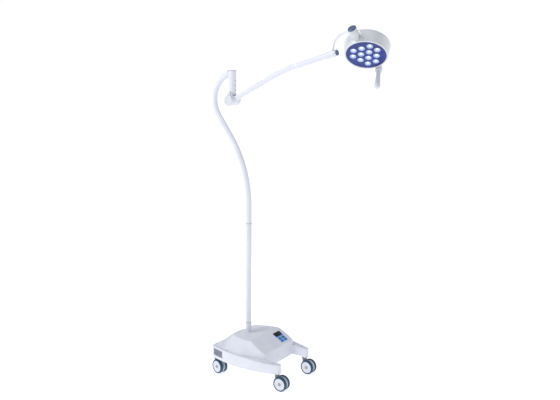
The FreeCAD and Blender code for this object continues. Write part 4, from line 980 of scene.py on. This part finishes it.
def facePanelMesh():
    # a flat disc with a round hole for each lens, given its thickness at the end
    bm = bmesh.new()
    edges = []
    circles = [(0, 0, headShape["face"] + 0.5, 160)]
    circles += [(s.x, s.y, lensShape["radius"] + 0.2, 48) for s in lensSpots()]
    for x, y, radius, steps in circles:
        turns = [i * math.tau / steps for i in range(steps)]
        ring = [bm.verts.new((x + radius * math.cos(a), y + radius * math.sin(a), 0)) for a in turns]
        edges += [bm.edges.new((ring[i], ring[(i + 1) % steps])) for i in range(steps)]
    bmesh.ops.triangle_fill(bm, use_beauty=True, edges=edges)
    faces = bmesh.ops.extrude_face_region(bm, geom=bm.faces[:])
    moved = [v for v in faces["geom"] if isinstance(v, bmesh.types.BMVert)]
    bmesh.ops.translate(bm, verts=moved, vec=(0, 0, headShape["panel"]))
    bm.transform(headPlace)
    return finishMesh("facePanel", bm)


def lensMesh():
    # a collimator: a flat rim, and a fluted cup that narrows to a small floor
    steps = 96
    loops = []
    for radius, z, flute in lensShape["rows"]:
        loop = []
        for i in range(steps):
            a = i * math.tau / steps
            r = radius * (1 + flute * lensShape["fluteDepth"] * math.cos(lensShape["flutes"] * a))
            loop.append((r * math.cos(a), r * math.sin(a), z))
        loops.append(loop)
    return lofted("lens", loops, headAxes.to_4x4() @ millimetres, sharp=50)


def buildHead():
    h = headShape
    inner, rim, back, lid, deep = h["face"] - 1.4, h["rim"], h["back"], h["back"] - 14, h["deep"]
    shell = turned("housing", softCorners([
        (inner, -3, 0.6), (rim, -3, 1.6), (rim + 0.9, 6), (rim + 1.1, 8), (rim + 0.5, 8.6), (rim + 1.3, 9.2),
        (back, deep - 2, 5), (back - 3, deep + 5, 5), (back - 8, deep + 8, 1), (lid, deep + 8, 0.5),
        (lid, deep + 5.5), (back - 9.5, deep + 5.5), (back - 2.5, deep - 3), (rim - 2.2, 2.6), (inner, 2.6)],
        steps=6), headPlace, steps=144, ring=True)
    addPiece("headHousing", shell, "lamp_head", "polishedAbs", ["head_housing"])
    cover = turned("cover", softCorners([
        (0, deep + 6), (lid - 0.4, deep + 6), (lid - 0.4, deep + 8.2, 0.6), (80, deep + 10.5, 4),
        (76, deep + 10.4, 2), (70, deep + 12, 3), (0, deep + 15)], closed=False), headPlace, steps=144)
    addPiece("backCover", cover, "lamp_head", "polishedAbs", ["back_cover"])
    headTurn = headAxes.to_4x4() @ millimetres
    aroundFace = {"Axis": -facing, "Centre": faceAt}
    screw = turned("screw", softCorners([
        (0, -3), (2, -3), (2, 0), (3.4, 0, 0.3), (3.2, 1.4, 0.8), (1.5, 1.9), (1.3, 0.9), (0, 0.8)],
        closed=False),
        headTurn @ Matrix.Translation((h["screwCircle"], 0, deep + 9.2)), steps=20)
    screws = repeated("backScrews", "ring", screw, [(0, 0, 0)], {"Count": h["screws"], **aroundFace})
    addPiece("backScrews", screws, "lamp_head", "zincSteel")
    slot = slab("slot", roundRect(46, -1.3, 64, 1.3, 1.3), deep + 11.6, deep + 13.6, 0.3, headTurn)
    vents = repeated("backVents", "ring", slot, [(0, 0, 0)], {"Count": h["vents"], **aroundFace})
    addPiece("backVents", vents, "lamp_head", "greyNylon")
    addPiece("facePanel", facePanelMesh(), "lamp_head", "blueLacquer", ["face_panel"])
    spots = [headPlace @ Vector((spot.x, spot.y, 0)) for spot in lensSpots()]
    lenses = repeated("lensArray", "row", lensMesh(), spots, {})
    addPiece("lensArray", lenses, "lamp_head", "lensPaintedReflectionGlow", ["lens_array"])
    # a glowing white dome in each lens is a painted highlight, not a light
    dome = turned("dome", softCorners([(0, 6.9), (6.3, 6.9), (6.1, 4, 3), (4.2, 1.2, 4), (0, 0.4)],
                                      closed=False),
                  headTurn, 32)
    addPiece("lensDomes", repeated("lensDomes", "row", dome, spots, {}), "lamp_head", "paintedHighlightDome")


buildHead()


def buildBracket():
    # a smooth arm from the housing's side to the knuckle's foot
    start = headPlace @ Vector((headShape["rim"] - 1, 0, headAim["pivotBack"]))
    foot = knuckleAt - pinAxis * (headAim["knuckleHalf"] + 0.3) * 0.001
    footRadius = 17
    section = roundRect(-15, -13, 15, 13, 7)
    loops = []
    steps = 10
    for step in range(steps + 1):
        t = step / steps
        share = t * t * (3 - 2 * t)
        centre = start.lerp(foot - pinAxis * 0.004, t) if step < steps else foot
        normal = toKnuckle.lerp(pinAxis, share).normalized()
        sideways = normal.cross(-facing).normalized()
        other = sideways.cross(normal).normalized()
        loop = []
        for p in section:
            angle = math.atan2(p.y, p.x)
            size = p.length * (1 - share) + footRadius * share
            loop.append(centre + (other * math.cos(angle) + sideways * math.sin(angle)) * size * 0.001)
        loops.append(loop)
    arm = lofted("arm", loops, Matrix.Identity(4))
    pin = turned("pin", softCorners([(0, -32), (7, -32), (7, 3, 1), (0, 3)], closed=False), knucklePlace, 40)
    addPiece("headBracket", joined("headBracket", [arm, pin]), "lamp_head", "greyEnamel",
             ["head_bracket"])


buildBracket()

# handle
handleShape = {"side": -5, "out": 116.6, "collar": 17, "collarLong": 18, "long": 98, "flutes": 10,
               "fluteDepth": 0.45}


def buildHandle():
    h = handleShape
    turnedHead = headAxes @ Matrix.Rotation(math.radians(h["side"]), 3, "Z")
    arm = slab("arm", roundRect(-h["out"] - 6, -10, -96, 10, 8), 3, 24, 3, placed(faceAt, turnedHead))
    there = placed(placed(faceAt, turnedHead) @ Vector((-h["out"], 0, 0)), turnedHead)
    post = turned("post", softCorners([
        (0, 20, 2), (14, 20, 3), (14, 2), (h["collar"], 1, 2), (h["collar"], -16, 1.5), (8.1, -16), (8.1, 1),
        (0, 1)],
        closed=False), there)
    addPiece("handleMount", joined("handleMount", [arm, post]), "lamp_head", "polishedAbs",
             ["handle_mount"])
    end = -h["collarLong"] - h["long"]
    profile = softCorners([(0, 0), (8, 0), (8, -16.5), (11, -16.5, 1), (11, -20, 1), (10, -38, 30),
                           (12, -68, 60),
                           (14.2, -100, 14), (10.5, end + 3, 8), (4, end, 6), (0, end)], closed=False,
                           steps=8)
    steps = 120
    loops = []
    for p in profile:
        depth = h["fluteDepth"] * ease(-24, -40, p.y) * (1 - ease(-92, -104, p.y))
        loop = []
        for i in range(steps):
            a = i * math.tau / steps
            r = max(p.x, 0.02) - depth * (0.5 + 0.5 * math.cos(h["flutes"] * a)) ** 4
            loop.append((r * math.cos(a), r * math.sin(a), p.y))
        loops.append(loop)
    addPiece("handleGrip", lofted("handleGrip", loops, there), "lamp_head", "polishedAbs",
             ["handle_grip"])


buildHandle()
print("head made")

# casters
casterShape = {"wide": 15, "gap": 16, "web": 20, "boss": 7.5, "crown": 13.5, "bore": 5.6, "top": 82,
               "hub": 30.5,
               "wheel": 37.5}


def buildCaster(name):
    c = casterShape
    swivel, roll = joints[name + "_swivel"], joints[name + "_roll"]
    stem = Vector((swivel["pos_m"][0], swivel["pos_m"][1], 0))
    ahead = (Vector((roll["pos_m"][0], roll["pos_m"][1], 0)) - stem).normalized()
    across = up.cross(ahead)
    turn = axes(ahead, across, up)
    here = placed(stem, turn)
    axle = placed(Vector(roll["pos_m"]), turn @ alongY)
    half = c["gap"] / 2 - 0.5
    trail = (Vector((roll["pos_m"][0], roll["pos_m"][1], 0)) - stem).length * 1000
    web = turned("web", softCorners([(4.1, -half), (c["web"], -half, 1.5), (c["web"], half, 1.5),
                                     (4.1, half)]), axle,
                 ring=True)
    top, crown = c["top"], c["crown"]
    boss = turned("boss", softCorners([
        (c["bore"], 52), (c["boss"], 52, 1), (c["boss"], top - 5.5), (crown, top - 5.5, 0.6),
        (crown, top, 1.5),
        (c["bore"], top)]), here, ring=True)
    arm = softCorners([(-7, 76, 2), (-7, 52, 8), (trail - 6, 20, 8), (trail + 10, 34, 10),
                       (trail + 4, 55, 10),
                       (9, 76, 6)])
    link = lofted("link", [[(x, y, z) for x, z in arm] for y in (-half, half)], here)
    addPiece(name + "Fork", joined(name + "Fork", [web, boss, link]), name + "_swivel_body", "forkNylon",
             [name + "_fork"])
    hubs, tyres, caps = [], [], []
    inside, outside = c["gap"] / 2, c["gap"] / 2 + c["wide"]
    hub, wheel = c["hub"], c["wheel"]
    for side in (-1, 1):
        flip = axle @ Matrix.Rotation(math.pi, 4, "X") if side < 0 else axle
        hubs.append(turned("hub", softCorners([
            (0, inside), (hub + 3.5, inside), (hub + 3.5, inside + 3), (hub, inside + 5),
            (hub, outside - 0.6, 0.8),
            (hub - 3, outside - 0.6, 0.8), (hub - 6, outside - 3.4, 2), (13.5, outside - 3.4, 2),
            (11.5, outside - 0.8, 1), (0, outside - 0.8)], closed=False), flip))
        tyres.append(turned("tyre", softCorners([
            (hub, inside + 5), (hub + 3.5, inside + 3), (hub + 3.5, inside), (wheel - 0.9, inside, 1),
            (wheel, inside + 3, 2), (wheel, outside - 3.5, 3), (wheel - 2, outside, 1.5),
            (hub, outside - 0.2)]),
            flip, steps=96, ring=True))
        caps.append(turned("axleCap",
                           softCorners([(0, outside - 1), (9.5, outside - 1), (9.5, outside + 0.2, 0.8),
                                                   (0, outside + 0.4)], closed=False), flip))
    shaft = turned("shaft", [(0, -inside), (4, -inside), (4, inside), (0, inside)], axle, 32)
    wheels = name + "_wheels"
    addPiece(name + "Hubs", joined(name + "Hubs", hubs + [shaft]), wheels, "whitePolyamide",
             [name + "_hubs"])
    addPiece(name + "Tyres", joined(name + "Tyres", tyres), wheels, "polyurethane",
             [name + "_tyres"])
    addPiece(name + "AxleCaps", joined(name + "AxleCaps", caps), wheels, "greyNylon")


for casterName in ("front_near", "front_far", "rear_near", "rear_far"):
    buildCaster(casterName)
print("casters made")

# screws of the cover
coverScrews = [(-20, -165), (-20, 165), (252, -141), (252, 141)]
panHead = turned("panHead", softCorners([
    (0, -20), (2.5, -20), (2.5, 0), (4.5, 0, 0.3), (4.3, 1.6, 1), (1.7, 2.2), (1.3, 1.2), (0, 1)],
    closed=False),
    millimetres, steps=28)
screwSpots = [(x / 1000, y / 1000, (skirtShape["top"] - topDrop(x)) / 1000) for x, y in coverScrews]
addPiece("coverScrews", repeated("coverScrews", "row", panHead, screwSpots, {}), "base", "zincSteel",
         ["cover_screws"])
print("screws made")

# frame pieces that keep their own shape
kept = {"chassis_plate": "zincSteel", "ballast_block": "castIron", "battery": "blackNylon",
        "power_supply": "aluminium",
        "control_board": "solderMask", "mains_inlet": "blackNylon", "mains_rocker": "blackNylon",
        "caster_stems": "zincSteel",
        "column_cable": "cableSheath", "sleeve_bushes": "naturalNylon", "pivot_bolt": "zincSteel",
        "friction_washers": "frictionLining", "led_board": "whiteMask", "heat_sink": "aluminium"}
for nodeName, material in kept.items():
    piece = frame["nodes"][nodeName]
    for i in range(len(piece.data.materials)):
        piece.material_slots[i].material = materials[material]
print("frame pieces finished:", len(kept))

# floor and light: a white studio
studio = {"floor": "#E2E2E4", "floorGlow": 0.70, "sky": "#FFFFFF", "skyPower": 1.02, "zenith": "#A8AAB0",
          "keyPower": 74, "keySize": 2.2,
          "keyPlace": (-1.5, -1.9, 3.9), "fillPower": 5, "fillPlace": (3.0, 1.6, 2.0),
          "aim": (0.15, 0, 0.9)}
floorMesh = lofted("floor", box((-80000, -80000, -20), (80000, 80000, 0)), millimetres)
floor = bpy.data.objects.new("floor", floorMesh)
scene.collection.objects.link(floor)
materials["paintedFloor"] = makeFinish("paintedFloor",
                                       {"color": studio["floor"], "shade": "#DEDEE1", "drift": 400,
                                                        "rough": (0.6, 0.7), "grain": 3, "depth": 0.02})
floorShader = materials["paintedFloor"].node_tree.nodes["Principled BSDF"]
# the floor is a lit table top
floorShader.inputs["Emission Color"].default_value = toLinear("#FFFFFF")
floorShader.inputs["Emission Strength"].default_value = studio["floorGlow"]
floor.data.materials.append(materials["paintedFloor"])
world = bpy.data.worlds.new("studio")
scene.world = world
world.use_nodes = True
sky = world.node_tree  # white round the horizon, dimmer overhead, like a studio with white walls
ray = addNode(sky, "ShaderNodeSeparateXYZ",
              links={0: addNode(sky, "ShaderNodeTexCoord").outputs["Generated"]})
height = addNode(sky, "ShaderNodeMapRange", {"From Min": 0.09, "From Max": 0.45}, {"Value": ray.outputs["Z"]})
shades = addNode(sky, "ShaderNodeMix",
                 {"data_type": "RGBA", 6: toLinear(studio["sky"]), 7: toLinear(studio["zenith"])},
                 {0: height.outputs[0]})
sky.links.new(shades.outputs[2], sky.nodes["Background"].inputs["Color"])
sky.nodes["Background"].inputs["Strength"].default_value = studio["skyPower"]
for lightName in ("key", "fill"):
    lamp = bpy.data.lights.new(lightName, "AREA")
    lamp.energy = studio[lightName + "Power"]
    lamp.size = studio["keySize"]
    light = bpy.data.objects.new(lightName, lamp)
    light.location = studio[lightName + "Place"]
    light.rotation_mode = "QUATERNION"
    light.rotation_quaternion = (Vector(studio["aim"]) - light.location).to_track_quat("-Z", "Y")
    scene.collection.objects.link(light)
scene.view_settings.view_transform = "Standard"
print("studio ready")
